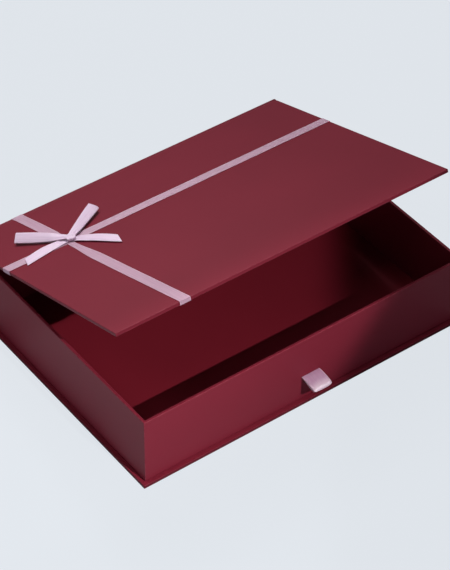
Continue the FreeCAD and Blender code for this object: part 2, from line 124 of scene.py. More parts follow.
class Body(Enum):
    """The bodies that pieces ride on."""

    BASE = "base"
    SPINE = "spine"
    LID = "lid"
    DRAWER = "drawer"


class Slot(Enum):
    """The record's material slots that the new pieces' finishes belong to; they are passed along but not
    used.
    """

    WRAP = "wrap_paper"
    BOW = "bow_ribbon"
    BAND = "band_ribbon"


# --- Finishes -----------------------------------------------------------------------------------


def linear(red: int, green: int, blue: int) -> Colour:
    """A colour written in 0 to 255 display values, as the shader wants it.

    Args:
        red, green, blue: display values.

    Returns:
        The same colour in linear values.
    """

    def channel(value: int) -> float:
        """One channel by the sRGB curve."""
        share = value / 255
        return share / 12.92 if share <= 0.04045 else ((share + 0.055) / 1.055) ** 2.4

    return channel(red), channel(green), channel(blue)


class Nodes:
    """A node tree, with short ways to add what the finishes and the lights share."""

    def __init__(self, tree: bpy.types.NodeTree) -> None:
        """Works on a tree."""
        self.tree = tree

    def add(self, kind: str, **settings: object) -> bpy.types.Node:
        """Adds a node.

        Args:
            kind: the node's type.
            settings: the node's own properties.

        Returns:
            The node.
        """
        node = self.tree.nodes.new(kind)
        for key, value in settings.items():
            setattr(node, key, value)
        return node

    def link(self, output: Socket, target: Socket) -> None:
        """Joins two sockets."""
        self.tree.links.new(output, target)

    def band(self, value: Socket, span: Span, to: Span = (0.0, 1.0), **settings: object) -> Socket:
        """Maps a value's range onto another, with its ends held.

        Args:
            value: the value.
            span: the range that it has.
            to: the range that it gets.
            settings: the node's own properties.

        Returns:
            The mapped value.
        """
        node = self.add("ShaderNodeMapRange", **settings)
        for key, number in zip(("From Min", "From Max", "To Min", "To Max"), (*span, *to)):
            node.inputs[key].default_value = number
        self.link(value, node.inputs["Value"])
        return node.outputs["Result"]

    def maths(self, operation: str, first: Socket, second: Socket | float) -> Socket:
        """One sum or product of two values.

        Args:
            operation: the node's operation.
            first: a value.
            second: another value, or a number.

        Returns:
            The result.
        """
        node = self.add("ShaderNodeMath", operation=operation)
        self.link(first, node.inputs[0])
        if isinstance(second, Socket):
            self.link(second, node.inputs[1])
        else:
            node.inputs[1].default_value = second
        return node.outputs[0]


class Shader(Nodes):
    """A material with a principled shader, and the patterns that its finish is mixed from."""

    def __init__(self, name: str) -> None:
        """Starts a material.

        Args:
            name: the material's name.
        """
        self.material = bpy.data.materials.new(name)
        self.material.use_nodes = True
        super().__init__(self.material.node_tree)
        self.surface = self.tree.nodes["Principled BSDF"]
        coordinates = self.add("ShaderNodeTexCoord")
        self.place = coordinates.outputs["Object"]
        self.cloth = coordinates.outputs["UV"]

    def set(self, **values: float | Sequence[float]) -> None:
        """Sets the surface shader's own sockets, written with underscores for spaces."""
        for key, value in values.items():
            self.surface.inputs[key.replace("_", " ")].default_value = value

    def noise(self, scale: float, detail: float = 2.0, source: Socket | None = None) -> Socket:
        """A noise pattern.

        Args:
            scale: features to the metre.
            detail: octaves.
            source: coordinates, the object's own if left out.

        Returns:
            The pattern's value, about 0.5 on average.
        """
        node = self.add("ShaderNodeTexNoise")
        node.inputs["Scale"].default_value = scale
        node.inputs["Detail"].default_value = detail
        self.link(source or self.place, node.inputs["Vector"])
        return node.outputs["Fac"]

    def strands(self, source: Socket, scale: Point, detail: float = 2.0) -> Socket:
        """A noise pattern that is drawn out into fibres or layers.

        Args:
            source: coordinates.
            scale: features to the metre each way.
            detail: octaves.

        Returns:
            The pattern's value, about 0.5 on average.
        """
        node = self.add("ShaderNodeMapping")
        node.inputs["Scale"].default_value = scale
        self.link(source, node.inputs["Vector"])
        return self.noise(1.0, detail, node.outputs["Vector"])

    def mix(self, share: Socket, first: Socket | Colour, second: Socket | Colour) -> Socket:
        """A colour between two.

        Args:
            share: how much of the second colour it has, from 0 to 1.
            first: the first colour.
            second: the second colour.

        Returns:
            The colour.
        """
        # The mix node's sockets 6 and 7 are its two colours, and its output 2 is their mix.
        node = self.add("ShaderNodeMix", data_type="RGBA")
        self.link(share, node.inputs[0])
        for socket, colour in ((node.inputs[6], first), (node.inputs[7], second)):
            if isinstance(colour, Socket):
                self.link(colour, socket)
            else:
                socket.default_value = (*colour, 1.0)
        return node.outputs[2]

    def attribute(self, name: str) -> Socket:
        """The value of a mesh attribute, 0 where a mesh has none."""
        return self.add("ShaderNodeAttribute", attribute_name=name).outputs["Fac"]

    def bump(self, height: Socket, distance: float) -> None:
        """Raises the surface by a height pattern.

        Args:
            height: the pattern, 0 to 1.
            distance: how far 1 stands above 0.
        """
        node = self.add("ShaderNodeBump")
        node.inputs["Distance"].default_value = distance
        self.link(height, node.inputs["Height"])
        self.link(node.outputs["Normal"], self.surface.inputs["Normal"])

    def colour(self, source: Socket) -> None:
        """Gives the surface its colour."""
        self.link(source, self.surface.inputs["Base Color"])

    def roughness(self, source: Socket) -> None:
        """Gives the surface its roughness."""
        self.link(source, self.surface.inputs["Roughness"])


@dataclass(frozen=True)
class PearlPaper:
    """Coated paper with a faint pearl: fine grain, a soft cloud, pale flakes that are a painted glint, and
    pale folded edges that are wear and a painted highlight.

    Below a set height the case's foot is painted a little darker: painted shade for the shadow along the
    base's edge.
    """

    name: str
    colour: Colour
    wear_and_highlight: Colour
    pearl: Colour
    roughness: float = 0.44
    roughness_spread: float = 0.02
    gloss: float = 0.11
    cloud: float = 0.04
    cloud_scale: float = 11.0
    glint: float = 0.01
    flake_scale: float = 6500.0
    flake_reach: float = 0.45
    scuff_and_highlight: float = 0.25
    scuff_scale: float = 420.0
    scuff_span: Span = (0.36, 0.62)
    grain: Point = (3000.0, 6500.0, 3000.0)
    grain_depth: float = 0.0012 * MM
    # The foot's painted shade: below this height, blurred over foot_blur, the colour is multiplied by
    # foot_shade.
    foot_height: float = 3.15 * MM
    foot_blur: float = 0.1 * MM
    foot_shade: Colour = (0.6, 0.4, 0.55)

    def material(self) -> Material:
        """The finish as a material."""
        shader = Shader(self.name)
        shader.set(Specular_IOR_Level=self.gloss)
        darker = tuple(channel * (1 - self.cloud) for channel in self.colour)
        paler = tuple(min(1.0, channel * (1 + self.cloud)) for channel in self.colour)
        cloud = shader.noise(self.cloud_scale, detail=3.0)
        tone = shader.mix(shader.band(cloud, WIDE), darker, paler)
        # Pearl flakes: the pearl colour mixed in at small Voronoi cells, a painted glint.
        flakes = shader.add("ShaderNodeTexVoronoi")
        flakes.inputs["Scale"].default_value = self.flake_scale
        shader.link(shader.place, flakes.inputs["Vector"])
        glint = shader.band(
            flakes.outputs["Distance"], (0.0, self.flake_reach), (self.glint, 0.0))
        glinted_tone = shader.mix(glint, tone, self.pearl)
        # Painted shade: the colour is darkened below foot_height, standing in for the shadow at the base's
        # edge.
        corner = shader.add("ShaderNodeSeparateXYZ")
        shader.link(shader.place, corner.inputs["Vector"])
        foot = shader.band(
            corner.outputs["Z"], (self.foot_height - self.foot_blur, self.foot_height), (1.0, 0.0))
        shaded_foot_colour = tuple(one * share for one, share in zip(self.colour, self.foot_shade))
        # Folded edges take a paler colour in scuffed patches: wear, and also a painted highlight along the
        # rounded edges.
        pattern = shader.noise(self.scuff_scale, detail=4.0)
        scuffs_and_highlight = shader.band(pattern, self.scuff_span, (0.0, self.scuff_and_highlight))
        edge_wear_and_highlight = shader.maths("MULTIPLY", shader.attribute("edge"), scuffs_and_highlight)
        shader.colour(shader.mix(foot, shader.mix(edge_wear_and_highlight, glinted_tone, self.wear_and_highlight), shaded_foot_colour))
        fibres = shader.strands(shader.place, self.grain, detail=3.0)
        span = (self.roughness - self.roughness_spread, self.roughness + self.roughness_spread)
        shader.roughness(shader.band(fibres, NARROW, span))
        shader.bump(fibres, self.grain_depth)
        return shader.material


@dataclass(frozen=True)
class Greyboard:
    """Raw grey board: matt, flecked with fibres, its plies showing as lines on a cut edge."""

    name: str
    colour: Colour
    fleck: Colour
    gloss: float = 0.2
    roughness: Span = (0.85, 0.95)
    plies: Point = (120.0, 120.0, 3200.0)
    ply_shade: float = 0.8
    ply_depth: float = 0.05 * MM
    fleck_scale: float = 1800.0
    fleck_span: Span = (0.6, 0.72)
    fleck_share: float = 0.8

    def material(self) -> Material:
        """The finish as a material."""
        shader = Shader(self.name)
        shader.set(Specular_IOR_Level=self.gloss)
        plies = shader.strands(shader.place, self.plies)
        pattern = shader.noise(self.fleck_scale)
        specks = shader.band(pattern, self.fleck_span, (0.0, self.fleck_share))
        shade = tuple(self.ply_shade * channel for channel in self.colour)
        shader.colour(shader.mix(specks, shader.mix(plies, shade, self.colour), self.fleck))
        shader.roughness(shader.band(plies, WIDE, self.roughness))
        shader.bump(plies, self.ply_depth)
        return shader.material


@dataclass(frozen=True)
class SatinRibbon:
    """Woven satin: warp floats along the ribbon, fine weft across, and a denser selvedge."""

    name: str
    colour: Colour
    shade: Colour
    selvedge_and_highlight: Colour
    selvedge_share: float = 0.8
    gloss: float = 0.45
    anisotropy: float = 0.4
    sheen: float = 0.25
    sheen_roughness: float = 0.3
    roughness: float = 0.5
    smoother: float = 0.05
    rougher: float = 0.08
    scatter: float = 0.5 * MM
    scatter_share: float = 0.55
    scatter_colour: Colour = (1.0, 0.9, 1.0)
    threads: float = 8000.0
    floats: float = 130.0
    warp_share: float = 0.75
    weft_unevenness: float = 0.6
    weave_contrast: float = 0.12
    weave_depth: float = 0.01 * MM
    streaks: Point = (900.0, 30.0, 1.0)

    def material(self) -> Material:
        """The finish as a material. It reads a UV map in metres and the attribute that marks the selvedges
        and the painted highlight.
        """
        shader = Shader(self.name)
        shader.set(
            Sheen_Weight=self.sheen,
            Sheen_Roughness=self.sheen_roughness,
            Sheen_Tint=(*self.selvedge_and_highlight, 1.0),
            Specular_IOR_Level=self.gloss,
            Anisotropic=self.anisotropy,
            Subsurface_Weight=self.scatter_share,
            Subsurface_Radius=self.scatter_colour,
            Subsurface_Scale=self.scatter,
        )
        tangent = shader.add("ShaderNodeTangent", direction_type="UV_MAP")
        shader.link(tangent.outputs["Tangent"], shader.surface.inputs["Tangent"])
        warp = shader.strands(shader.cloth, (self.threads, self.floats, 1.0), detail=1.0)
        weft = shader.add("ShaderNodeTexWave", wave_type="BANDS", bands_direction="Y")
        weft.inputs["Scale"].default_value = self.threads / WAVE_RADIANS
        weft.inputs["Distortion"].default_value = self.weft_unevenness
        shader.link(shader.cloth, weft.inputs["Vector"])
        weave = shader.maths(
            "ADD",
            shader.maths("MULTIPLY", warp, self.warp_share),
            shader.maths("MULTIPLY", weft.outputs["Fac"], 1 - self.warp_share),
        )
        streaks = shader.band(shader.strands(shader.cloth, self.streaks), WIDE)
        raised = shader.band(weave, NARROW, (0.0, self.weave_contrast))
        tone = shader.mix(streaks, self.shade, self.colour)
        # Selvedges and the painted highlight round the tab's nose both take the pale colour.
        edge = shader.maths("MULTIPLY", shader.attribute("selvedge_and_highlight"), self.selvedge_share)
        shader.colour(shader.mix(edge, shader.mix(raised, tone, self.selvedge_and_highlight), self.selvedge_and_highlight))
        span = (self.roughness - self.smoother, self.roughness + self.rougher)
        shader.roughness(shader.band(weave, WIDE, span))
        shader.bump(weave, self.weave_depth)
        return shader.material


@dataclass
class Finishes:
    """Every finish of the box, each made once."""

    # Each paper's second colour is for its worn edges and also paints their highlight; its third is the
    # pearl flakes' painted glint.
    wrap: Material = field(default_factory=PearlPaper(
        "burgundy_pearl_paper", linear(118, 32, 47), linear(152, 80, 90), linear(190, 96, 108),
    ).material)
    lining: Material = field(default_factory=PearlPaper(
        "burgundy_lining_paper", linear(106, 23, 35), linear(150, 70, 78), linear(150, 70, 78),
        roughness=0.55, gloss=0.08,
    ).material)
    board: Material = field(default_factory=Greyboard(
        "greyboard", linear(138, 132, 124), linear(92, 84, 76),
    ).material)
    tape: Material = field(default_factory=Greyboard(
        "stay_tape", linear(186, 160, 124), linear(150, 124, 92),
    ).material)
    # The bow is the bands' satin made paler: a painted highlight for the light its loops and tails catch.
    bow: Material = field(default_factory=SatinRibbon(
        "lilac_satin_bow_painted_lighter", linear(227, 202, 223), linear(216, 188, 211), linear(248, 218, 237),
    ).material)
    # The tab's pale colour also paints the highlight round its nose.
    tab: Material = field(default_factory=SatinRibbon(
        "lilac_satin_tab", linear(200, 154, 184), linear(190, 142, 174), linear(255, 216, 235),
        gloss=0.8, roughness=0.42, scatter=2.0 * MM,
    ).material)
    band: Material = field(default_factory=SatinRibbon(
        "lilac_satin_band", linear(190, 153, 172), linear(180, 141, 160), linear(226, 186, 204),
    ).material)

    def dress(self, nodes: dict[str, Piece]) -> None:
        """Gives each node that stays in sight its own finish.

        Args:
            nodes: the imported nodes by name.
        """
        for name, node in nodes.items():
            if name.endswith("_lining"):
                finish = self.lining
            elif name.startswith("corner_stay"):
                finish = self.tape
            elif name.endswith("_board"):
                finish = self.board
            else:
                finish = self.wrap
            node.data.materials.clear()
            node.data.materials.append(finish)


# --- Where things are ---------------------------------------------------------------------------


@dataclass(frozen=True)
class Layout:
    """The frames and sizes that the pieces are built to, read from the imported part."""

    nodes: dict[str, Piece]
    base_fold: Vector
    lid_fold: Vector
    lean: float

    @classmethod
    def read(cls, frame: dict) -> Layout:
        """Reads the folds from the part's joints.


        Returns:
            The layout.
        """
        joints = {joint["name"]: joint for joint in frame["joints"]}
        return cls(
            frame["nodes"],
            Vector(joints["spine_fold"]["pos_m"]),
            Vector(joints["lid_fold"]["pos_m"]),
            -math.radians(joints["spine_fold"]["range_deg"][0]),
        )

    @property
    def base(self) -> Matrix:
        """The base's frame: its fold at the origin, its underside at 0."""
        return Matrix.Translation(self.base_fold)

    @property
    def spine(self) -> Matrix:
        """The spine's frame: the base fold at the origin, its outer face at y 0."""
        return Matrix.Translation(self.base_fold) @ Matrix.Rotation(-self.lean, 4, "X")

    @property
    def lid(self) -> Matrix:
        """The lid's frame: its fold at the origin, its outer face at z 0."""
        return Matrix.Translation(self.lid_fold) @ Matrix.Rotation(-self.lean, 4, "X")

    def box(self, node: str, frame: Matrix) -> tuple[Vector, Vector]:
        """A node's lowest and highest corners in a frame.

        Args:
            node: the node's name.
            frame: the frame.

        Returns:
            The two corners.
        """
        inverse = frame.inverted()
        corners = [inverse @ vertex.co for vertex in self.nodes[node].data.vertices]
        low = Vector(min(corner[axis] for corner in corners) for axis in range(3))
        high = Vector(max(corner[axis] for corner in corners) for axis in range(3))
        return low, high

    def short_band_x(self, y: float) -> float:
        """Where the middle of the short band is across the lid, at a distance from its fold.

        Args:
            y: that distance, in the lid's frame, negative towards its front.

        Returns:
            The middle's x.
        """
        end_low, end_high = self.box("band_end", self.lid)
        low, high = self.box("short_band", self.lid)
        start = (end_low.x + end_high.x) / 2
        front = high.x - (end_high.x - end_low.x) / 2
        return start + (front - start) * min(0.0, y) / low.y


@dataclass
class SubAssembly:
    """What each sub-assembly is built from: where things are, the finishes, and shared sizes."""

    layout: Layout
    finishes: Finishes
    paper: float = 0.25 * MM
    turn_in: float = 15 * MM
    fold_reach: float = 3.2 * MM


# --- Mesh helpers -------------------------------------------------------------------------------


def finished(name: str, mesh: Mesh, frame: Matrix, material: Material, slot: Slot) -> Piece:
    """Turns a bmesh into a placed piece, shaded smooth.

    Args:
        name: the piece's name.
        mesh: its shape, in a frame of its own.
        frame: where that frame stands.
        material: its finish.
        slot: the record's slot of that finish; not used.

    Returns:
        The piece, with its place in its mesh.
    """
    mesh.transform(frame)
    for face in mesh.faces:
        face.smooth = True
    data = bpy.data.meshes.new(name)
    mesh.to_mesh(data)
    mesh.free()
    data.materials.append(material)
    piece = bpy.data.objects.new(name, data)
    bpy.context.scene.collection.objects.link(piece)
    return piece


def thicken(piece: Piece, thickness: float, offset: float) -> None:
    """Gives a sheet its thickness.

    Args:
        piece: the sheet.
        thickness: how thick it is.
        offset: -1 to thicken inwards, 0 both ways, 1 outwards.
    """
    solid = piece.modifiers.new("thickness", "SOLIDIFY")
    solid.thickness = thickness
    solid.offset = offset
    solid.use_even_offset = True


def cover(piece: Piece, paper: float, node: str, body: Body) -> Piece:
    """Makes a sheet the paper over a panel, its flat faces flat beside the rounded edges.

    Args:
        piece: the sheet, which is the paper's outside.
        paper: how thick it is.
        node: the CAD node that it replaces.
        body: what it rides on.

    Returns:
        The piece.
    """
    thicken(piece, paper, -1.0)
    weighted = piece.modifiers.new("flat_faces", "WEIGHTED_NORMAL")
    weighted.keep_sharp = True
    weighted.weight = FLAT_FACE_WEIGHT
    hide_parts(node)
    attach(piece, body.value)
    return piece


def edges_where(mesh: Mesh, test: EdgeTest) -> Edges:
    """The edges whose two ends pass a test."""
    return [edge for edge in mesh.edges if test(edge.verts[0].co, edge.verts[1].co)]


def at_ends(half: float) -> EdgeTest:
    """A test for the edges at a sheet's two ends, which are half its length from its middle."""
    return lambda one, other: abs(one.x + other.x) > 2 * half - TINY


def round_edges(mesh: Mesh, edges: Edges, radius: float) -> None:
    """Rounds edges, and marks only the rounded skin in the 'edge' attribute, where the paper is paled by
    wear and by a painted highlight.

    Args:
        mesh: the mesh.
        edges: its edges to round.
        radius: how far from each edge its rounding begins.
    """
    rounded = bmesh.ops.bevel(
        mesh,
        geom=list(edges),
        offset=radius,
        offset_type="OFFSET",
        affect="EDGES",
        segments=BEVEL_SEGMENTS,
        profile=0.5,
        material=-1,
        clamp_overlap=True,
    )
    wear_and_highlight = mesh.loops.layers.float["edge"]
    for face in rounded["faces"]:
        for loop in face.loops:
            loop[wear_and_highlight] = 1.0


def new_mesh() -> Mesh:
    """An empty mesh whose face corners hold the 'edge' attribute."""
    mesh = bmesh.new()
    mesh.loops.layers.float.new("edge")
    return mesh


def rectangle(mesh: Mesh, low: Sequence[float], high: Sequence[float]) -> None:
    """Adds a flat face, facing up, at height 0.

    Args:
        mesh: the mesh to add to.
        low: its lowest corner.
        high: its highest corner.
    """
    size = Vector((high[0] - low[0], high[1] - low[1], 1.0))
    middle = Vector(((high[0] + low[0]) / 2, (high[1] + low[1]) / 2, 0.0))
    place = Matrix.Translation(middle) @ Matrix.Diagonal((*size, 1.0))
    bmesh.ops.create_grid(mesh, x_segments=1, y_segments=1, size=0.5, matrix=place)


def extrude_edges(mesh: Mesh, edges: Edges, move: Callable[[Vector], Vector]) -> None:
    """Draws edges out into faces.

    Args:
        mesh: the mesh.
        edges: its edges to draw out.
        move: how far each new corner goes, from where it is.
    """
    drawn = bmesh.ops.extrude_edge_only(mesh, edges=list(edges))
    for item in drawn["geom"]:
        if isinstance(item, bmesh.types.BMVert):
            item.co += move(item.co)


def cut_slit(mesh: Mesh, across: Span, up: Span, on_wall: Callable[[Vector], bool]) -> None:
    """Cuts an upright slit out of one wall of a sheet.

    Args:
        mesh: the sheet.
        across: the slit's ends in x.
        up: its lowest and highest level.
        on_wall: tells whether a point is on the wall that is cut.
    """
    sides = [(Vector((place, 0, 0)), Vector((1, 0, 0))) for place in across]
    levels = [(Vector((0, 0, place)), Vector((0, 0, 1))) for place in up]
    for point, normal in sides + levels:
        faces = [face for face in mesh.faces if all(on_wall(vertex.co) for vertex in face.verts)]
        parts = dict.fromkeys(part for face in faces for part in (*face.verts, *face.edges))
        bmesh.ops.bisect_plane(mesh, geom=[*parts, *faces], plane_co=point, plane_no=normal)

    def inside(co: Vector) -> bool:
        """Whether a point of the wall is in the slit."""
        return on_wall(co) and across[0] < co.x < across[1] and up[0] < co.z < up[1]

    slit = [face for face in mesh.faces if inside(face.calc_center_median())]
    bmesh.ops.delete(mesh, geom=slit, context="FACES")


def face_out(mesh: Mesh, up: Vector, at: Callable[[Vector], bool]) -> None:
    """Turns the faces of an open sheet the same way.

    Args:
        mesh: the sheet.
        up: the direction that its faces look in at one place.
        at: tells whether a face's middle is at that place.
    """
    bmesh.ops.recalc_face_normals(mesh, faces=mesh.faces)
    probe = next(face for face in mesh.faces if at(face.calc_center_median()))
    if probe.normal.dot(up) < 0:
        bmesh.ops.reverse_faces(mesh, faces=mesh.faces)


# --- The case -----------------------------------------------------------------------------------


@dataclass
class CaseWrap(SubAssembly):
    """The paper over the case: base, spine and lid, and the two folds that hinge them."""

    edge_radius: float = 0.55 * MM
    fold_columns: int = 40
    crease_radius: float = 0.9 * MM
    crease_points: int = 9
    slit_height: float = 0.45 * MM
    slit_fit: float = 0.15 * MM
    edging_paper: float = 0.1 * MM

    def panel(self, name: str, frame: Matrix, body: Body, upright: float) -> Piece:
        """The paper over the base or the lid.

        Args:
            name: the piece's and its node's common first word.
            frame: the panel's frame, its fold at the origin.
            body: what it rides on.
            upright: 1 if its outer face looks up, -1 if down.

        Returns:
            The piece.
        """
        node = f"{name}_wrap"
        low, high = self.layout.box(node, frame)
        board_back = self.layout.box(f"{name}_board", frame)[1].y
        panel = high.z - low.z
        mesh = new_mesh()
        rectangle(mesh, (low.x, low.y), (high.x, board_back))

        def at_rim(one: Vector, other: Vector) -> bool:
            """Whether an edge's middle is at the front or at a side."""
            middle = (one + other) / 2
            return middle.y < low.y + TINY or abs(middle.x) > high.x - TINY

        extrude_edges(mesh, edges_where(mesh, at_rim), lambda co: Vector((0, 0, -panel)))

        def at_lower_rim(one: Vector, other: Vector) -> bool:
            """Whether an edge is the far one of a wall."""
            return one.z < -TINY and other.z < -TINY and at_rim(one, other)

        def inwards(co: Vector) -> Vector:
            """How far a corner of the turned-in paper goes."""
            forward = self.turn_in if co.y < low.y + TINY else 0.0
            return Vector((-math.copysign(self.turn_in, co.x), forward, 0))

        extrude_edges(mesh, edges_where(mesh, at_lower_rim), inwards)

        def is_folded(one: Vector, other: Vector) -> bool:
            """Whether the paper is folded along an edge.

            Args:
                one, other: the edge's two ends.

            Returns:
                True if it is.
            """
            on_rim = all(co.y < low.y + TINY or abs(co.x) > high.x - TINY for co in (one, other))
            before_back = max(one.y, other.y) < TINY + board_back
            return on_rim and before_back and (one - other).length > TINY

        round_edges(mesh, edges_where(mesh, is_folded), self.edge_radius)
        back = edges_where(mesh, lambda one, other: min(one.y, other.y) > board_back - TINY
                           and abs(one.z) + abs(other.z) < TINY)
        flap = -self.fold_reach - board_back
        extrude_edges(mesh, back, lambda co: Vector((0, flap, 0)))
        face_out(mesh, Vector((0, 0, 1)), lambda co: abs(co.z) < TINY)
        mesh.transform(Matrix.Diagonal((1, 1, upright, 1)))
        if upright < 0:
            bmesh.ops.reverse_faces(mesh, faces=mesh.faces)
        piece = finished(f"{name}_paper", mesh, frame, self.finishes.wrap, Slot.WRAP)
        return cover(piece, self.paper, node, body)

    def spine(self) -> Piece:
        """The paper over the spine, turned in at both ends."""
        frame = self.layout.spine
        low, high = self.layout.box("spine_wrap", frame)
        panel = high.y - low.y
        mesh = new_mesh()
        rectangle(mesh, (low.x, self.fold_reach), (high.x, high.z + low.z - self.fold_reach))
        mesh.transform(Matrix.Rotation(math.radians(90), 4, "X"))
        on_end = at_ends(high.x)
        extrude_edges(mesh, edges_where(mesh, on_end), lambda co: Vector((0, -panel, 0)))
        inner = edges_where(mesh, lambda one, other: one.y < -TINY and other.y < -TINY)
        extrude_edges(mesh, inner, lambda co: Vector((-math.copysign(self.turn_in, co.x), 0, 0)))
        board_low, board_high = self.layout.box("spine_board", frame)
        for vertex in mesh.verts:
            if vertex.co.y < -TINY:
                vertex.co.z = board_low.z if vertex.co.z < high.z / 2 else board_high.z
        folded = edges_where(
            mesh, lambda one, other: on_end(one, other) and abs(one.z - other.z) > TINY)
        round_edges(mesh, folded, self.edge_radius)
        face_out(mesh, Vector((0, 1, 0)), lambda co: abs(co.y) < TINY)
        band_low, band_high = self.layout.box("band_end", frame)
        level = band_low.z + self.slit_height / 2
        cut_slit(
            mesh,
            (band_low.x - self.slit_fit, band_high.x + self.slit_fit),
            (level - self.slit_height, level + self.slit_height),
            lambda co: abs(co.y) < TINY,
        )
        piece = finished("spine_paper", mesh, frame, self.finishes.wrap, Slot.WRAP)
        return cover(piece, self.paper, "spine_wrap", Body.SPINE)

    def fold(self, name: str, corner: Vector, first: Vector, second: Vector,
             bodies: tuple[Body, Body]) -> Piece:
        """A crease of paper that hinges two panels.

        Args:
            name: the piece's name.
            corner: the fold line's middle.
            first: the direction from the fold into the first panel's outer face.
            second: the same for the second panel.
            bodies: the two bodies that it joins.

        Returns:
            The piece.
        """
        half = self.layout.box("base_wrap", Matrix.Identity(4))[1].x
        start = corner + first * self.fold_reach
        end = corner + second * self.fold_reach
        near = corner + first * self.crease_radius
        far = corner + second * self.crease_radius
        bend = interpolate_bezier(near, corner, corner, far, self.crease_points)
        path = [start, start.lerp(near, 0.5), *bend, far.lerp(end, 0.5), end]
        last = len(path) - 1
        mesh = new_mesh()
        bmesh.ops.create_grid(mesh, x_segments=self.fold_columns, y_segments=last, size=0.5)
        wear_and_highlight = mesh.loops.layers.float["edge"]
        rows = {vertex: round((vertex.co.y + 0.5) * last) for vertex in mesh.verts}
        # The path's first three and last three rows are on the panels or at the crease's ends.
        crease = range(3, last - 2)
        # The crease's rows take the paper's edge wear and painted highlight.
        for face in mesh.faces:
            for loop in face.loops:
                loop[wear_and_highlight] = 1.0 if rows[loop.vert] in crease else 0.0
        for vertex, row in rows.items():
            vertex.co = Vector((vertex.co.x * 2 * half, 0, 0)) + path[row]
        outward = -(first + second)
        face_out(mesh, outward, lambda co: (co - corner).yz.length < self.crease_radius)
        piece = finished(name, mesh, Matrix.Identity(4), self.finishes.wrap, Slot.WRAP)
        thicken(piece, self.paper, -1.0)
        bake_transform(piece, bodies[0].value, bodies[1].value, start=start, end=end)
        return piece

    def edging(self, name: str, frame: Matrix, body: Body, place: Matrix,
               spans: tuple[Vector, Vector], ends: float = 0.0) -> Piece:
        """A strip of paper over a board's edge in a fold, so that no bare board shows there.

        Args:
            name: the piece's name.
            frame: the panel's frame.
            body: what it rides on.
            place: where the strip lies in that frame, from flat at the origin.
            spans: its two corners.
            ends: how far it turns round the board's two ends, and which way.

        Returns:
            The piece.
        """
        mesh = new_mesh()
        rectangle(mesh, *spans)
        if ends:
            sides = edges_where(mesh, at_ends(spans[1].x))
            extrude_edges(mesh, sides, lambda co: Vector((0, 0, ends)))
        mesh.transform(place)
        piece = finished(name, mesh, frame, self.finishes.wrap, Slot.WRAP)
        thicken(piece, self.edging_paper, 0.0)
        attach(piece, body.value)
        return piece

    def edgings(self) -> list[Piece]:
        """The strips over the four board edges in the two folds."""
        pieces = []
        paper = self.edging_paper
        upright = Matrix.Rotation(math.radians(90), 4, "X")
        for name, frame, body in (("base", self.layout.base, Body.BASE),
                                  ("lid", self.layout.lid, Body.LID)):
            low, high = self.layout.box(f"{name}_board", frame)
            place = Matrix.Translation((0, high.y + paper, 0)) @ upright
            pieces.append(self.edging(f"{name}_board_edging", frame, body, place,
                                      (low.xz, high.xz)))
        frame = self.layout.spine
        low, high = self.layout.box("spine_board", frame)
        aside = Vector((paper, 0))
        turned = self.fold_reach - low.z + paper
        for name, level, ends in (("lower", low.z - paper, turned),
                                  ("upper", high.z + paper, -turned)):
            pieces.append(self.edging(f"spine_board_{name}_edging", frame, Body.SPINE,
                                      Matrix.Translation((0, 0, level)),
                                      (low.xy - aside, high.xy + aside), ends))
        return pieces

    def build(self) -> list[Piece]:
        """Builds the case's paper."""
        layout = self.layout
        forward = Vector((0, -1, 0))
        up_spine = layout.spine.to_3x3() @ Vector((0, 0, 1))
        along_lid = layout.lid.to_3x3() @ forward
        return [
            self.panel("base", layout.base, Body.BASE, -1.0),
            self.spine(),
            self.panel("lid", layout.lid, Body.LID, 1.0),
            self.fold("base_fold", layout.base_fold, forward, up_spine, (Body.BASE, Body.SPINE)),
            self.fold("lid_fold", layout.lid_fold, -up_spine, along_lid, (Body.SPINE, Body.LID)),
            *self.edgings(),
        ]


# --- The drawer ---------------------------------------------------------------------------------


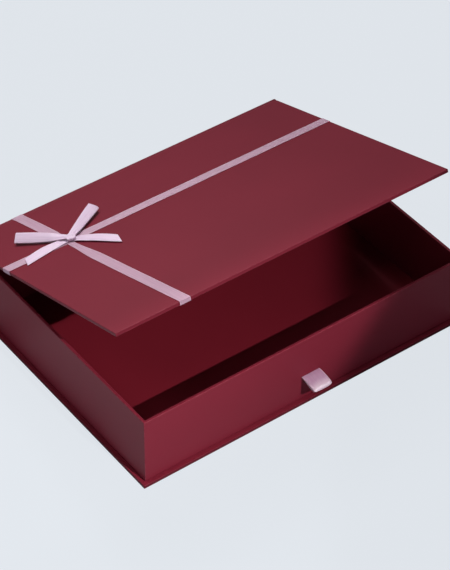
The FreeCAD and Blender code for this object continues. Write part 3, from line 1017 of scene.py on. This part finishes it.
@dataclass
class DrawerWrap(SubAssembly):
    """The paper over the drawer: outside, over the rim, down the inside, and turned in below."""

    edge_radius: float = 0.6 * MM
    slit_fit: float = 0.3 * MM
    slit_half_height: float = 0.55 * MM

    def build(self) -> list[Piece]:
        """Builds the drawer's paper."""
        low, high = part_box("drawer_wrap")
        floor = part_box("drawer_floor_board")[1].z
        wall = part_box("drawer_left_board")[1].x + self.paper - low.x
        size = high - low
        mesh = new_mesh()
        place = Matrix.Translation((low + high) / 2) @ Matrix.Diagonal((*size, 1.0))
        bmesh.ops.create_cube(mesh, size=1.0, matrix=place)
        top = self.cap(mesh, 1)
        bmesh.ops.inset_region(mesh, faces=[top], thickness=wall, use_even_offset=True)
        sunk = bmesh.ops.extrude_discrete_faces(mesh, faces=[top])["faces"]
        bmesh.ops.translate(mesh, verts=sunk[0].verts, vec=Vector((0, 0, floor - high.z)))
        bmesh.ops.remove_doubles(mesh, verts=mesh.verts, dist=TINY)
        self.drop_face(mesh, floor)
        bottom = self.cap(mesh, -1)
        bmesh.ops.inset_region(mesh, faces=[bottom], thickness=self.turn_in, use_even_offset=True)
        bmesh.ops.delete(mesh, geom=[bottom], context="FACES_ONLY")

        def is_folded(one: Vector, other: Vector) -> bool:
            """Whether the paper is folded along an edge.

            Args:
                one, other: the edge's two ends.

            Returns:
                True if it is.
            """
            upright = abs(one.z - other.z) > size.z / 2
            at_rim = min(one.z, other.z) > high.z - TINY
            outer = all(
                abs(co.x) > high.x - TINY or co.y < low.y + TINY or co.y > high.y - TINY
                for co in (one, other)
            )
            at_foot = max(one.z, other.z) < low.z + TINY and outer
            parallel = abs(one.x - other.x) < TINY or abs(one.y - other.y) < TINY
            return upright or ((at_rim or at_foot) and parallel)

        round_edges(mesh, edges_where(mesh, is_folded), self.edge_radius)
        bmesh.ops.recalc_face_normals(mesh, faces=mesh.faces)
        probe = min(mesh.faces, key=lambda face: face.calc_center_median().y)
        if probe.normal.y > 0:
            bmesh.ops.reverse_faces(mesh, faces=mesh.faces)
        tab_low, tab_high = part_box("pull_tab")
        level = (tab_low.z + tab_high.z) / 2
        cut_slit(
            mesh,
            (tab_low.x - self.slit_fit, tab_high.x + self.slit_fit),
            (level - self.slit_half_height, level + self.slit_half_height),
            lambda co: co.y < low.y + TINY,
        )
        piece = finished("drawer_paper", mesh, Matrix.Identity(4), self.finishes.wrap, Slot.WRAP)
        return [cover(piece, self.paper, "drawer_wrap", Body.DRAWER)]

    @staticmethod
    def cap(mesh: Mesh, way: int) -> bmesh.types.BMFace:
        """The face that looks straight up (1) or down (-1), the outermost one."""
        return max(mesh.faces, key=lambda face: way * face.calc_center_median().z)

    @staticmethod
    def drop_face(mesh: Mesh, height: float) -> None:
        """Deletes the one level face at a height."""
        level = [
            face for face in mesh.faces
            if all(abs(vertex.co.z - height) < TINY for vertex in face.verts)
        ]
        bmesh.ops.delete(mesh, geom=level, context="FACES_ONLY")


# --- Ribbon -------------------------------------------------------------------------------------


def rounded_path(corners: Sequence[Vector], radius: float, step: float) -> list[Vector]:
    """A line through corners, each corner rounded, with points at even steps along the runs.

    Args:
        corners: the line's corners.
        radius: how far from each corner its bend begins.
        step: the longest distance between points on a run.

    Returns:
        The line's points.
    """
    points = [corners[0]]
    for before, corner, after in zip(corners, corners[1:], corners[2:]):
        enter = corner + (before - corner).normalized() * radius
        leave = corner + (after - corner).normalized() * radius
        points += run(points[-1], enter, step)
        points += interpolate_bezier(enter, enter.lerp(corner, CORNER_HANDLE),
                                     leave.lerp(corner, CORNER_HANDLE), leave, CORNER_POINTS)[1:]
    return points + run(points[-1], corners[-1], step)


def run(start: Vector, end: Vector, step: float) -> list[Vector]:
    """Points along a straight run, its start left out."""
    count = max(1, round((end - start).length / step))
    return [start.lerp(end, index / count) for index in range(1, count + 1)]


def smooth(share: float) -> float:
    """A share from 0 to 1, eased at both ends."""
    held = min(1.0, max(0.0, share))
    return held * held * (3 - 2 * held)


def pleats(across: float, waves: float, shift: float = 0.0) -> float:
    """Pleats across a ribbon, from -1 to 1, as many as there are waves."""
    return math.cos(2 * math.pi * waves * (across - 0.5) + shift)


def flattened(value: float, power: float) -> float:
    """A sine or cosine raised to a power, its sign kept, for a section squarer than an ellipse."""
    return math.copysign(abs(value) ** power, value)


def path_length(points: Sequence[Vector]) -> float:
    """How long a line is."""
    return sum((end - start).length for start, end in zip(points, points[1:]))


def path_place(points: Sequence[Vector], across: Vector, width: float) -> Place:
    """Lays a ribbon along a line.

    Args:
        points: the line, one point to a row.
        across: the direction across the ribbon.
        width: the ribbon's width.

    Returns:
        The rule for RibbonSheet.build().
    """

    def place(share_across: float, share_along: float) -> Vector:
        """A point of the ribbon."""
        row = round(share_along * (len(points) - 1))
        return points[row] + across * (share_across - 0.5) * width

    return place


@dataclass
class RibbonSheet:
    """A strip of satin ribbon: a grid of columns across and rows along, laid by a rule.

    Its width and length are those of the cut; its area, held and rests_on are not used. Its selvedges are
    pale, and so is its middle where the tab's ribbon curves round its nose: a painted highlight.
    """

    name: str
    material: Material
    slot: Slot
    width: float
    length: float
    rows: int
    frame: Matrix
    held: str
    rests_on: Sequence[str]
    area: float | None = None
    columns: int = 12
    thickness: float = 0.3 * MM
    selvedge_share: float = 0.05
    # Painted highlight: the share of the length each side of the middle that is paled, and how softly it
    # fades.
    nose_highlight: float = 0.0
    fade: float = 0.14

    def build(self, place: Place) -> Piece:
        """Makes the strip.

        Args:
            place: gives a point of the strip from its share across and its share along.

        Returns:
            The piece, not yet riding on anything.
        """
        mesh = bmesh.new()
        cloth = mesh.loops.layers.uv.new("UVMap")
        pale_edge_and_highlight = mesh.verts.layers.float.new("selvedge_and_highlight")
        bmesh.ops.create_grid(mesh, x_segments=self.columns, y_segments=self.rows, size=0.5)
        for face in mesh.faces:
            for loop in face.loops:
                across, along = loop.vert.co.x + 0.5, loop.vert.co.y + 0.5
                loop[cloth].uv = (across * self.width, along * self.length)
        for vertex in mesh.verts:
            across, along = vertex.co.x + 0.5, vertex.co.y + 0.5
            # The middle is paled as a painted highlight where the tab's ribbon curves round its nose.
            folded = 0.0
            if self.nose_highlight:
                folded = smooth((self.nose_highlight - abs(along - 0.5)) / self.fade)
            at_selvedge = min(across, 1 - across) < self.selvedge_share
            vertex[pale_edge_and_highlight] = 1.0 if at_selvedge else folded
            vertex.co = place(across, along)
        piece = finished(self.name, mesh, self.frame, self.material, self.slot)
        thicken(piece, self.thickness, 0.0)
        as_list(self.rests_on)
        LOG.info("%s: flat %.0f x %.0f mm", self.name, self.width / MM, self.length / MM)
        return piece


@dataclass
class LidBands(SubAssembly):
    """The ribbon cross round the lid: a long band along it and a short one over it."""

    lift: float = 0.18 * MM
    bend: float = 0.6 * MM
    step: float = 3.0 * MM
    ripple: float = 0.05 * MM
    ripple_turn: float = 90.0
    ripple_slant: float = 1.3
    long_phase: float = 0.4
    short_phase: float = 1.9
    tail: float = 14 * MM
    layer: float = 0.4 * MM
    ramp: float = 5 * MM
    tuck: float = 0.2 * MM
    pinch: float = 0.42
    pinch_offset: float = 9 * MM
    pinch_reach: float = 38 * MM
    pinch_depth: float = 0.35 * MM
    pinch_pleats: float = 1.5

    def rippled(self, points: Sequence[Vector], phase: float) -> list[Vector]:
        """The line with the slight unevenness of ribbon laid by hand, on top of the lid only.

        Args:
            points: the line.
            phase: where its ripple starts, in radians.

        Returns:
            The line's new points.
        """

        def lifted(point: Vector) -> float:
            """How far a point is lifted.

            Args:
                point: a point of the line.

            Returns:
                The lift, 0 off the top of the lid.
            """
            if abs(point.z - self.lift) >= 2 * self.lift:
                return 0.0
            turn = self.ripple_turn * (point.x + self.ripple_slant * point.y)
            return self.ripple * (1 + math.sin(phase + turn))

        return [point + Vector((0, 0, lifted(point))) for point in points]

    def long_band(self) -> Piece:
        """The band that runs along the lid and round its two ends."""
        frame = self.layout.lid
        low, high = self.layout.box("long_band", frame)
        wrap_low, wrap_high = self.layout.box("lid_wrap", frame)
        middle = (low.y + high.y) / 2
        top, under = wrap_high.z + self.lift, wrap_low.z - self.lift
        end = wrap_high.x + self.lift
        corners = [
            Vector((-end + self.tail, middle, under)),
            Vector((-end, middle, under)),
            Vector((-end, middle, top)),
            Vector((end, middle, top)),
            Vector((end, middle, under)),
            Vector((end - self.tail, middle, under)),
        ]
        points = self.rippled(rounded_path(corners, self.bend, self.step), self.long_phase)
        width = round(high.y - low.y, 4)
        sheet = RibbonSheet("long_band_ribbon", self.finishes.band, Slot.BAND, width,
                            path_length(points), len(points) - 1, frame,
                            held="stretched", rests_on=["lid_paper"])
        piece = sheet.build(path_place(points, Vector((0, 1, 0)), width))
        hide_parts("long_band")
        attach(piece, Body.LID.value)
        return piece

    def short_band(self) -> Piece:
        """The band across the long one, a little askew, from the lid's front over its fold."""
        frame = self.layout.lid
        end_low, end_high = self.layout.box("band_end", frame)
        wrap_low, wrap_high = self.layout.box("lid_wrap", frame)
        long_low, long_high = self.layout.box("long_band", frame)
        top, under = wrap_high.z + self.lift, wrap_low.z - self.lift
        front, back = wrap_low.y - self.lift, self.lift
        width = round(end_high.x - end_low.x, 4)

        def at(y: float, z: float) -> Vector:
            """A point of the band's middle line."""
            return Vector((self.layout.short_band_x(y), y, z))

        corners = [
            at(front + self.tail, under),
            at(front, under),
            at(front, top),
            at(back, top),
            at(back, end_low.z + self.lift),
            at(-self.tuck, end_low.z + self.lift),
        ]
        crossing = (long_low.y + long_high.y) / 2
        half = (long_high.y - long_low.y) / 2

        def hump(point: Vector) -> Vector:
            """A point of the line, raised where it crosses the long band.

            Args:
                point: a point of the line.

            Returns:
                The raised point.
            """
            over = 1 - smooth((abs(point.y - crossing) - half) / self.ramp)
            on_top = point.z > top - TINY
            return point + Vector((0, 0, self.layer * over if on_top else 0))

        points = [hump(point) for point in rounded_path(corners, self.bend, self.step)]
        points = self.rippled(points, self.short_phase)
        knot = crossing - self.pinch_offset

        def place(across: float, along: float) -> Vector:
            """A point of the band, which is drawn in and pleated under the bow.

            Args:
                across: the share across the ribbon.
                along: the share along it.

            Returns:
                The point.
            """
            point = points[round(along * (len(points) - 1))]
            gather = 1 - smooth(abs(point.y - knot) / self.pinch_reach)
            held = 1 - self.pinch * gather if point.z > top - TINY else 1.0
            fold = self.pinch_depth * gather * pleats(across, self.pinch_pleats)
            return point + Vector(((0.5 - across) * width * held, 0, max(0.0, fold)))

        sheet = RibbonSheet("short_band_ribbon", self.finishes.band, Slot.BAND, width,
                            path_length(points), len(points) - 1, frame, held="stretched",
                            rests_on=["lid_paper", "long_band_ribbon", "spine_paper"])
        piece = sheet.build(place)
        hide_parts("short_band", "band_end")
        fold = self.layout.lid_fold
        up_spine = self.layout.spine.to_3x3() @ Vector((0, 0, 1))
        along_lid = frame.to_3x3() @ Vector((0, -1, 0))
        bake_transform(piece, Body.SPINE.value, Body.LID.value,
                 start=fold - up_spine * self.fold_reach, end=fold + along_lid * self.fold_reach)
        return piece

    def build(self) -> list[Piece]:
        """Builds both bands."""
        return [self.long_band(), self.short_band()]


@dataclass(frozen=True)
class BowLoop:
    """One loop: where it goes, how it rolls, its round end, and how the knot gathers it."""

    node: str
    reach: float
    heading: float
    roll: float
    tip_height: float
    tip_radius: float
    root_width: float
    spread: float
    corner: float = 0.0


@dataclass(frozen=True)
class BowTail:
    """One tail: its heading and end's corners, how it rises, bends and rolls, where it is flat."""

    node: str
    heading: float
    left_reach: float
    right_reach: float
    left_height: float
    right_height: float
    arch: float
    bend: float
    roll: float
    spread: float


@dataclass
class Bow(SubAssembly):
    """The bow where the bands cross: two loops, two tails and a knot."""

    ribbon_width: float = 10 * MM
    right_of_crossing: float = 3.1 * MM
    ahead_of_crossing: float = 1.2 * MM
    columns: int = 18
    rows: int = 40
    root: float = 1.2 * MM
    pleat_reach: float = 16 * MM
    root_pleats: int = 2
    loop_rows: int = 30
    loop_height: float = 2.8 * MM
    loop_gap: float = 0.4 * MM
    loop_crown: float = 0.35 * MM
    loop_pleat: float = 0.35 * MM
    bulge: float = 0.25 * MM
    sag: float = 0.1 * MM
    roll_reach: float = 20 * MM
    corner_from: float = 0.72
    tip_step: int = 15
    tail_root_width: float = 6.5 * MM
    tail_height: float = 1.2 * MM
    tail_pleat: float = 0.3 * MM
    tail_cup: float = 0.2 * MM
    tail_crest: float = 0.8
    knot_columns: int = 20
    knot_reach: float = 5.2 * MM
    knot_rise: float = 1.8 * MM
    knot_middle: float = 2.7 * MM
    knot_width: float = 9.0 * MM
    knot_heading: float = -14.0
    knot_crease: float = 0.04
    knot_twist: float = 0.8
    knot_taper: float = 0.22
    knot_draw: float = 0.2
    knot_powers: Span = (0.85, 0.65)
    loops: tuple[BowLoop, ...] = (
        BowLoop("bow_loop_right", reach=51.4 * MM, heading=34.3, roll=21.0, tip_height=4.9 * MM,
                tip_radius=0.5 * MM, root_width=6.6 * MM, spread=44 * MM, corner=1.0 * MM),
        BowLoop("bow_loop_left", reach=47.6 * MM, heading=132.4, roll=-31.0, tip_height=5.0 * MM,
                tip_radius=0.45 * MM, root_width=6.2 * MM, spread=30 * MM),
    )
    tails: tuple[BowTail, ...] = (
        BowTail("bow_tail_right", heading=-53.2, left_reach=40.5 * MM, right_reach=48.0 * MM,
                left_height=2.5 * MM, right_height=1.3 * MM, arch=1.0 * MM, bend=0.9 * MM,
                roll=9.0, spread=40 * MM),
        BowTail("bow_tail_left", heading=184.4, left_reach=47.7 * MM, right_reach=43.5 * MM,
                left_height=0.7 * MM, right_height=1.8 * MM, arch=0.6 * MM, bend=-2.2 * MM,
                roll=-8.0, spread=26 * MM),
    )

    def centre(self) -> Matrix:
        """The bow's frame on the lid, a little aside from where the bands cross."""
        frame = self.layout.lid
        low, high = self.layout.box("long_band", frame)
        crossing = (low.y + high.y) / 2
        middle = Vector((self.layout.short_band_x(crossing), crossing, 0))
        aside = Vector((self.right_of_crossing, -self.ahead_of_crossing, 0))
        return frame @ Matrix.Translation(middle + aside)

    def half_width(self, distance: float, root_width: float, spread: float) -> float:
        """Half the ribbon's width seen from above, narrow where the knot gathers it.

        Args:
            distance: how far from the knot it is.
            root_width: its whole width at the knot.
            spread: how far from the knot it is flat again.

        Returns:
            Half the width.
        """
        share = min(1.0, max(0.0, (distance - self.root) / (spread - self.root)))
        return (root_width + (self.ribbon_width - root_width) * share) / 2

    def pleat(self, across: float, distance: float, depth: float) -> float:
        """How far the gathered ribbon rises and falls across itself beside the knot."""
        gathered = 1 - smooth((distance - self.root) / self.pleat_reach)
        return depth * gathered * pleats(across, self.root_pleats)

    def loop_line(self, shape: BowLoop) -> list[Vector]:
        """A loop's side view about its middle line: out below, round the end, and back above.

        Args:
            shape: its sizes.

        Returns:
            Points whose x is the distance from the knot and whose z is the height off the line.
        """
        nose = shape.reach - shape.tip_radius
        rows = self.loop_rows

        def layer(share: float, way: int, belly: float) -> Vector:
            """A point of one of the two layers.

            Args:
                share: its share of the way out to the nose.
                way: -1 for the layer below, 1 for the one above.
                belly: how far the layer swells half-way out.

            Returns:
                The point.
            """
            opening = self.loop_gap + (shape.tip_radius - self.loop_gap) * smooth(share)
            height = way * (opening + belly * math.sin(math.pi * share))
            return Vector((self.root + (nose - self.root) * share, 0, height))

        below = [layer(row / rows, -1, self.sag) for row in range(rows + 1)]
        above = [layer(row / rows, 1, self.bulge) for row in range(rows, -1, -1)]
        around = [
            Vector((nose + shape.tip_radius * math.sin(math.radians(turn)), 0,
                    -shape.tip_radius * math.cos(math.radians(turn))))
            for turn in range(self.tip_step, 180, self.tip_step)
        ]
        return below + around + above

    def loop(self, shape: BowLoop) -> Piece:
        """One loop, from the knot and back to it, its sides at different heights.

        Args:
            shape: its sizes.

        Returns:
            The piece.
        """
        points = self.loop_line(shape)

        def place(across: float, along: float) -> Vector:
            """A point of the loop, along its heading.

            Args:
                across: the share across the ribbon.
                along: the share along it.

            Returns:
                The point.
            """
            point = points[round(along * (len(points) - 1))]
            share = min(1.0, point.x / shape.reach)
            line = self.loop_height + (shape.tip_height - self.loop_height) * share
            roll = math.radians(shape.roll) * smooth(point.x / self.roll_reach)
            side = (0.5 - across) * 2 * self.half_width(point.x, shape.root_width, shape.spread)
            crown = self.loop_crown * (1 - (2 * across - 1) ** 2) * math.copysign(1, point.z)
            up = point.z + crown + self.pleat(across, point.x, self.loop_pleat)
            near_corner = smooth((across - self.corner_from) / (1 - self.corner_from))
            return Vector((
                point.x - shape.corner * near_corner * share ** 4,
                side * math.cos(roll) - up * math.sin(roll),
                line + side * math.sin(roll) + up * math.cos(roll),
            ))

        return self.lay(shape.node, shape.heading, place, len(points) - 1, self.columns,
                        path_length(points))

    def tail(self, shape: BowTail) -> Piece:
        """One tail, from under the knot down to the lid, its end cut on a slant.

        Args:
            shape: its sizes.

        Returns:
            The piece.
        """

        def place(across: float, along: float) -> Vector:
            """A point of the tail, along its heading.

            Args:
                across: the share across the ribbon.
                along: the share along it.

            Returns:
                The point.
            """
            reach = shape.right_reach + (shape.left_reach - shape.right_reach) * across
            end = shape.right_height + (shape.left_height - shape.right_height) * across
            distance = self.root + (reach - self.root) * along
            height = self.tail_height + (end - self.tail_height) * smooth(along)
            half_way = math.sin(math.pi * along ** self.tail_crest)
            roll = math.radians(shape.roll) * half_way
            half = self.half_width(distance, self.tail_root_width, shape.spread)
            side = (across - 0.5) * 2 * half
            height += shape.arch * half_way + side * math.sin(roll)
            cup = self.tail_cup * (2 * across - 1) ** 2 * smooth(3 * along)
            return Vector((
                distance,
                side * math.cos(roll) + shape.bend * half_way,
                height - cup + self.pleat(across, distance, self.tail_pleat),
            ))

        return self.lay(shape.node, shape.heading, place, self.rows, self.columns,
                        max(shape.left_reach, shape.right_reach),
                        self.ribbon_width * (shape.left_reach + shape.right_reach) / 2)

    def knot(self) -> Piece:
        """The knot: a turn of gathered ribbon round the middle, drawn tight."""

        def place(across: float, along: float) -> Vector:
            """A point of the knot, whose turn starts at one side.

            Args:
                across: the share across the ribbon.
                along: the share along it.

            Returns:
                The point.
            """
            turn = 2 * math.pi * along
            twist = self.knot_twist * math.sin(turn)
            crease = self.knot_crease * pleats(across, self.root_pleats, twist)
            swell = 1 - self.knot_taper * (2 * across - 1) ** 2 + crease
            drawn = 1 - self.knot_draw * abs(math.cos(turn))
            sideways, upwards = self.knot_powers
            return Vector((
                (across - 0.5) * self.knot_width * drawn,
                self.knot_reach * flattened(math.cos(turn), sideways) * swell,
                self.knot_middle + self.knot_rise * flattened(math.sin(turn), upwards) * swell,
            ))

        girth = path_length([place(0.5, row / self.rows) for row in range(self.rows + 1)])
        return self.lay("bow_knot", self.knot_heading, place, self.rows, self.knot_columns, girth)

    def lay(self, node: str, heading: float, place: Place, rows: int, columns: int,
            length: float, area: float | None = None) -> Piece:
        """Makes a piece of the bow, and says what it replaces and rides on.

        Args:
            node: the CAD node that it replaces.
            heading: where it points, in degrees from the lid's right.
            place: the rule that lays it.
            rows: how many faces it has along its length.
            columns: how many faces it has across its width.
            length: the cut ribbon's length.
            area: the cut ribbon's flat area, where its end is slanted.

        Returns:
            The piece.
        """
        turn = Matrix.Rotation(math.radians(heading), 4, "Z")
        sheet = RibbonSheet(f"{node}_ribbon", self.finishes.bow, Slot.BOW, self.ribbon_width,
                            length, rows, self.centre() @ turn, held="gathered",
                            rests_on=["lid_paper"], area=area, columns=columns)
        piece = sheet.build(place)
        soft = piece.modifiers.new("soft", "SUBSURF")
        soft.levels = soft.render_levels = 1
        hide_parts(node)
        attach(piece, Body.LID.value)
        return piece

    def build(self) -> list[Piece]:
        """Builds the bow."""
        pieces = [self.loop(shape) for shape in self.loops]
        pieces += [self.tail(shape) for shape in self.tails]
        return [*pieces, self.knot()]


@dataclass
class PullTab(SubAssembly):
    """The ribbon loop on the drawer's front, through its slit and glued behind the board."""

    columns: int = 16
    layer: float = 0.19 * MM
    layer_points: int = 16
    tip: float = 2.2 * MM
    tip_step: int = 12
    drop: float = 2.6 * MM
    spare: float = 0.9 * MM
    upper_reach: float = 5 * MM
    lower_reach: float = 4 * MM
    root_rise: float = 1.2 * MM
    nose_reach: float = 6 * MM
    upper_rise: float = 0.9 * MM
    lower_rise: float = 0.1 * MM
    tail: float = 12 * MM
    tail_bend: float = 1.0 * MM
    tail_gap: float = 0.6 * MM
    closed: Span = (0.55, 0.1)
    closed_from: float = 0.25
    squareness: float = 3.0
    corner: float = 0.9 * MM
    corner_powers: tuple[int, int] = (6, 4)
    skew: float = 0.45 * MM
    # The share of the ribbon's length each side of its nose that gets the painted highlight.
    nose_highlight: float = 0.26

    def build(self) -> list[Piece]:
        """Builds the tab."""
        low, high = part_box("pull_tab")
        face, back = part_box("drawer_wrap")[0].y, high.y - self.layer
        level = (low.z + high.z) / 2
        nose = low.y + self.tip + self.layer - self.spare
        middle, width = (low.x + high.x) / 2, high.x - low.x
        tip, drop = self.tip, self.drop

        def at(y: float, z: float) -> Vector:
            """A point of the tab's side view."""
            return Vector((middle, y, z))

        upper = interpolate_bezier(
            at(face, level + self.layer),
            at(face - self.upper_reach, level + self.root_rise),
            at(nose + self.nose_reach, level - drop + tip + self.upper_rise),
            at(nose, level - drop + tip),
            self.layer_points,
        )
        lower = interpolate_bezier(
            at(nose, level - drop - tip),
            at(nose + self.nose_reach, level - drop - tip + self.lower_rise),
            at(face - self.lower_reach, level - self.root_rise),
            at(face, level - self.layer),
            self.layer_points,
        )
        turns = [math.radians(turn) for turn in range(self.tip_step, 180, self.tip_step)]
        points = [
            at(back, level + self.tail),
            at(back, level + self.tail_bend),
            at(back - self.tail_gap, level + self.layer),
            *upper,
            *(at(nose - tip * math.sin(turn), level - drop + tip * math.cos(turn))
              for turn in turns),
            *lower,
            at(back - self.tail_gap, level - self.layer),
            at(back, level - self.tail_bend),
            at(back, level - self.tail),
        ]
        straight = path_place(points, Vector((1, 0, 0)), width)

        def place(across: float, along: float) -> Vector:
            """A point of the tab, whose two layers near each other at the loop's edges.

            Args:
                across: the share across the ribbon.
                along: the share along it.

            Returns:
                The point.
            """
            point = straight(across, along)
            reach = min(1.0, max(0.0, (face - point.y) / (face - nose)))
            between = level - drop * reach
            off_middle = abs(2 * across - 1)
            edge = self.closed[across >= 0.5] * off_middle ** self.squareness
            closing = edge * smooth(reach / self.closed_from)
            point.z = between + (point.z - between) * (1 - closing)
            sideways, outwards = self.corner_powers
            point.y += self.corner * off_middle ** sideways * reach ** outwards
            point.x -= self.skew * reach
            return point

        sheet = RibbonSheet("pull_tab_ribbon", self.finishes.tab, Slot.BOW, width,
                            path_length(points), len(points) - 1, Matrix.Identity(4),
                            held="folded", rests_on=["drawer_paper"], columns=self.columns,
                            nose_highlight=self.nose_highlight)
        piece = sheet.build(place)
        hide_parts("pull_tab")
        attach(piece, Body.DRAWER.value)
        return [piece]


# --- The studio ---------------------------------------------------------------------------------


@dataclass(frozen=True)
class Lamp:
    """A light: where it hangs, the point that it is turned to, and its power in watts."""

    name: str
    place: Point
    target: Point
    power: float

    def light(self) -> bpy.types.Light:
        """The kind of light that it is, which each kind of lamp says for itself."""
        raise NotImplementedError

    def hang(self) -> None:
        """Puts the light at its place, turned to its target."""
        place, target = Vector(self.place), Vector(self.target)
        light = self.light()
        light.energy = self.power
        lamp = bpy.data.objects.new(self.name, light)
        lamp.location = place
        lamp.rotation_euler = (target - place).to_track_quat("-Z", "Y").to_euler()
        bpy.context.scene.collection.objects.link(lamp)


@dataclass(frozen=True)
class Softbox(Lamp):
    """A square soft light, by its side."""

    side: float

    def light(self) -> bpy.types.Light:
        """An area light."""
        light = bpy.data.lights.new(self.name, "AREA")
        light.size = self.side
        return light


@dataclass(frozen=True)
class Spot(Lamp):
    """A round soft light whose beam fades from its middle to its edge, reach away at the target."""

    reach: float
    radius: float

    def light(self) -> bpy.types.Light:
        """A spotlight."""
        light = bpy.data.lights.new(self.name, "SPOT")
        distance = (Vector(self.target) - Vector(self.place)).length
        light.spot_size = 2 * math.atan(self.reach / distance)
        light.spot_blend = 1.0
        light.shadow_soft_size = self.radius
        return light


@dataclass(frozen=True)
class Door:
    """A barn door: two points of its shadow's edge, its blur in radians, the share it lets by."""

    first: Point
    second: Point
    blur: float
    leak: float = 0.0


@dataclass(frozen=True)
class Beam(Lamp):
    """A round light whose beam is cut off straight by soft-edged barn doors."""

    doors: tuple[Door, ...]
    angle: float = 40.0
    fade: float = 0.3
    radius: float = 0.01

    def light(self) -> bpy.types.Light:
        """A spotlight whose strength depends on the way that its rays go."""
        light = bpy.data.lights.new(self.name, "SPOT")
        light.spot_size = math.radians(self.angle)
        light.spot_blend = self.fade
        light.shadow_soft_size = self.radius
        light.use_nodes = True
        nodes = Nodes(light.node_tree)
        ray = nodes.add("ShaderNodeNewGeometry").outputs["Normal"]
        place, passed = Vector(self.place), None
        for door in self.doors:
            edge = (Vector(door.first) - place).cross(Vector(door.second) - place).normalized()
            side = nodes.add("ShaderNodeVectorMath", operation="DOT_PRODUCT")
            side.inputs[1].default_value = edge
            nodes.link(ray, side.inputs[0])
            share = nodes.band(side.outputs["Value"], (-door.blur, door.blur), (door.leak, 1.0),
                               interpolation_type="SMOOTHSTEP")
            passed = nodes.maths("MULTIPLY", passed, share) if passed else share
        nodes.link(passed, nodes.tree.nodes["Emission"].inputs["Strength"])
        return light


@dataclass
class Studio:
    """A plain pale floor and world, soft light, and the camera."""

    backdrop: Colour = linear(227, 232, 238)
    ground: Colour = linear(190, 195, 202)
    floor_half: float = 6.0
    glow: float = 0.93
    world_level: float = 0.24
    eye: Point = (-0.8838, -1.1908, 1.3958)
    azimuth: float = -36.708
    elevation: float = 42.453
    roll: float = 0.333
    focal_pixels: float = 2398.0
    image_height: int = 570
    sensor: float = 36.0
    lamps: tuple[Lamp, ...] = (
        Beam("key", (0.0, -1.3, 1.14), (-0.02, 0.0, 0.05), 110.0, doors=(
            Door((0.108, -0.017, 0.007), (0.053, -0.118, 0.036), 0.0105),
            Door((0.035, -0.017, 0.007), (-0.020, -0.118, 0.036), 0.055, 0.6),
            Door((-0.1, -0.0885, 0.1455), (0.1, -0.0885, 0.1455), 0.0008),
            Door((0.1, -0.132, 0.0), (-0.1, -0.132, 0.0), 0.012, 0.7),
        )),
        Softbox("top", (0.35, 1.3, 1.9), (0.0, 0.0, 0.1), 22.0, side=0.8),
        Softbox("front", (0.0, -0.55, 1.9), (0.0, -0.05, 0.05), 3.5, side=0.6),
        Spot("lid", (0.46, 1.21, 1.51), (-0.15, -0.02, 0.12), 60.0, reach=0.31, radius=0.15),
        Softbox("left", (-0.9, 0.45, 1.3), (-0.1, 0.05, 0.1), 3.2, side=0.5),
    )

    def floor(self) -> None:
        """The floor, pale and flat, with a light shadow under the box."""
        mesh = bmesh.new()
        bmesh.ops.create_grid(mesh, x_segments=1, y_segments=1, size=self.floor_half)
        data = bpy.data.meshes.new("floor")
        mesh.to_mesh(data)
        mesh.free()
        floor = bpy.data.objects.new("floor", data)
        bpy.context.scene.collection.objects.link(floor)
        shader = Shader("floor")
        shader.set(Roughness=1.0, Specular_IOR_Level=0.0, Base_Color=(*self.ground, 1.0))
        glow = shader.add("ShaderNodeEmission")
        glow.inputs["Color"].default_value = (*self.backdrop, 1.0)
        seen = shader.add("ShaderNodeLightPath").outputs["Is Camera Ray"]
        blend = shader.add("ShaderNodeMixShader")
        shader.link(shader.maths("MULTIPLY", seen, self.glow), blend.inputs["Fac"])
        shader.link(shader.surface.outputs["BSDF"], blend.inputs[1])
        shader.link(glow.outputs["Emission"], blend.inputs[2])
        output = shader.tree.nodes["Material Output"]
        shader.link(blend.outputs["Shader"], output.inputs["Surface"])
        data.materials.append(shader.material)

    def world(self) -> None:
        """Even, pale light from all round, which the camera sees at its full level."""
        world = bpy.data.worlds.new("studio")
        world.use_nodes = True
        nodes = Nodes(world.node_tree)
        sky = nodes.tree.nodes["Background"]
        seen = nodes.add("ShaderNodeLightPath").outputs["Is Camera Ray"]
        level = nodes.band(seen, (0.0, 1.0), (self.world_level, 1.0))
        nodes.link(level, sky.inputs["Strength"])
        sky.inputs["Color"].default_value = (*self.backdrop, 1.0)
        bpy.context.scene.world = world

    def camera(self) -> None:
        """The camera, in front and to the left, looking down."""
        data = bpy.data.cameras.new("camera")
        data.sensor_width = self.sensor
        data.lens = self.focal_pixels / self.image_height * self.sensor
        camera = bpy.data.objects.new("camera", data)
        turn = (
            Matrix.Rotation(math.radians(self.azimuth), 4, "Z")
            @ Matrix.Rotation(math.radians(90 - self.elevation), 4, "X")
            @ Matrix.Rotation(math.radians(self.roll), 4, "Z")
        )
        camera.matrix_world = Matrix.Translation(self.eye) @ turn
        bpy.context.scene.collection.objects.link(camera)
        bpy.context.scene.camera = camera

    def build(self) -> None:
        """Sets up the floor, the light and the camera."""
        bpy.context.scene.view_settings.view_transform = "Standard"
        self.floor()
        self.world()
        for lamp in self.lamps:
            lamp.hang()
        self.camera()


# --- The whole ----------------------------------------------------------------------------------


def main() -> None:
    """Loads the part and dresses it."""
    logging.basicConfig(level=logging.INFO, format="%(name)s: %(message)s")
    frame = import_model()
    layout = Layout.read(frame)
    finishes = Finishes()
    finishes.dress(frame["nodes"])
    for builder in (
        CaseWrap(layout, finishes),
        DrawerWrap(layout, finishes),
        LidBands(layout, finishes),
        Bow(layout, finishes),
        PullTab(layout, finishes),
    ):
        for piece in builder.build():
            LOG.info("%s: %d faces", piece.name, len(piece.data.polygons))
    Studio().build()


if __name__ == "__main__":
    main()
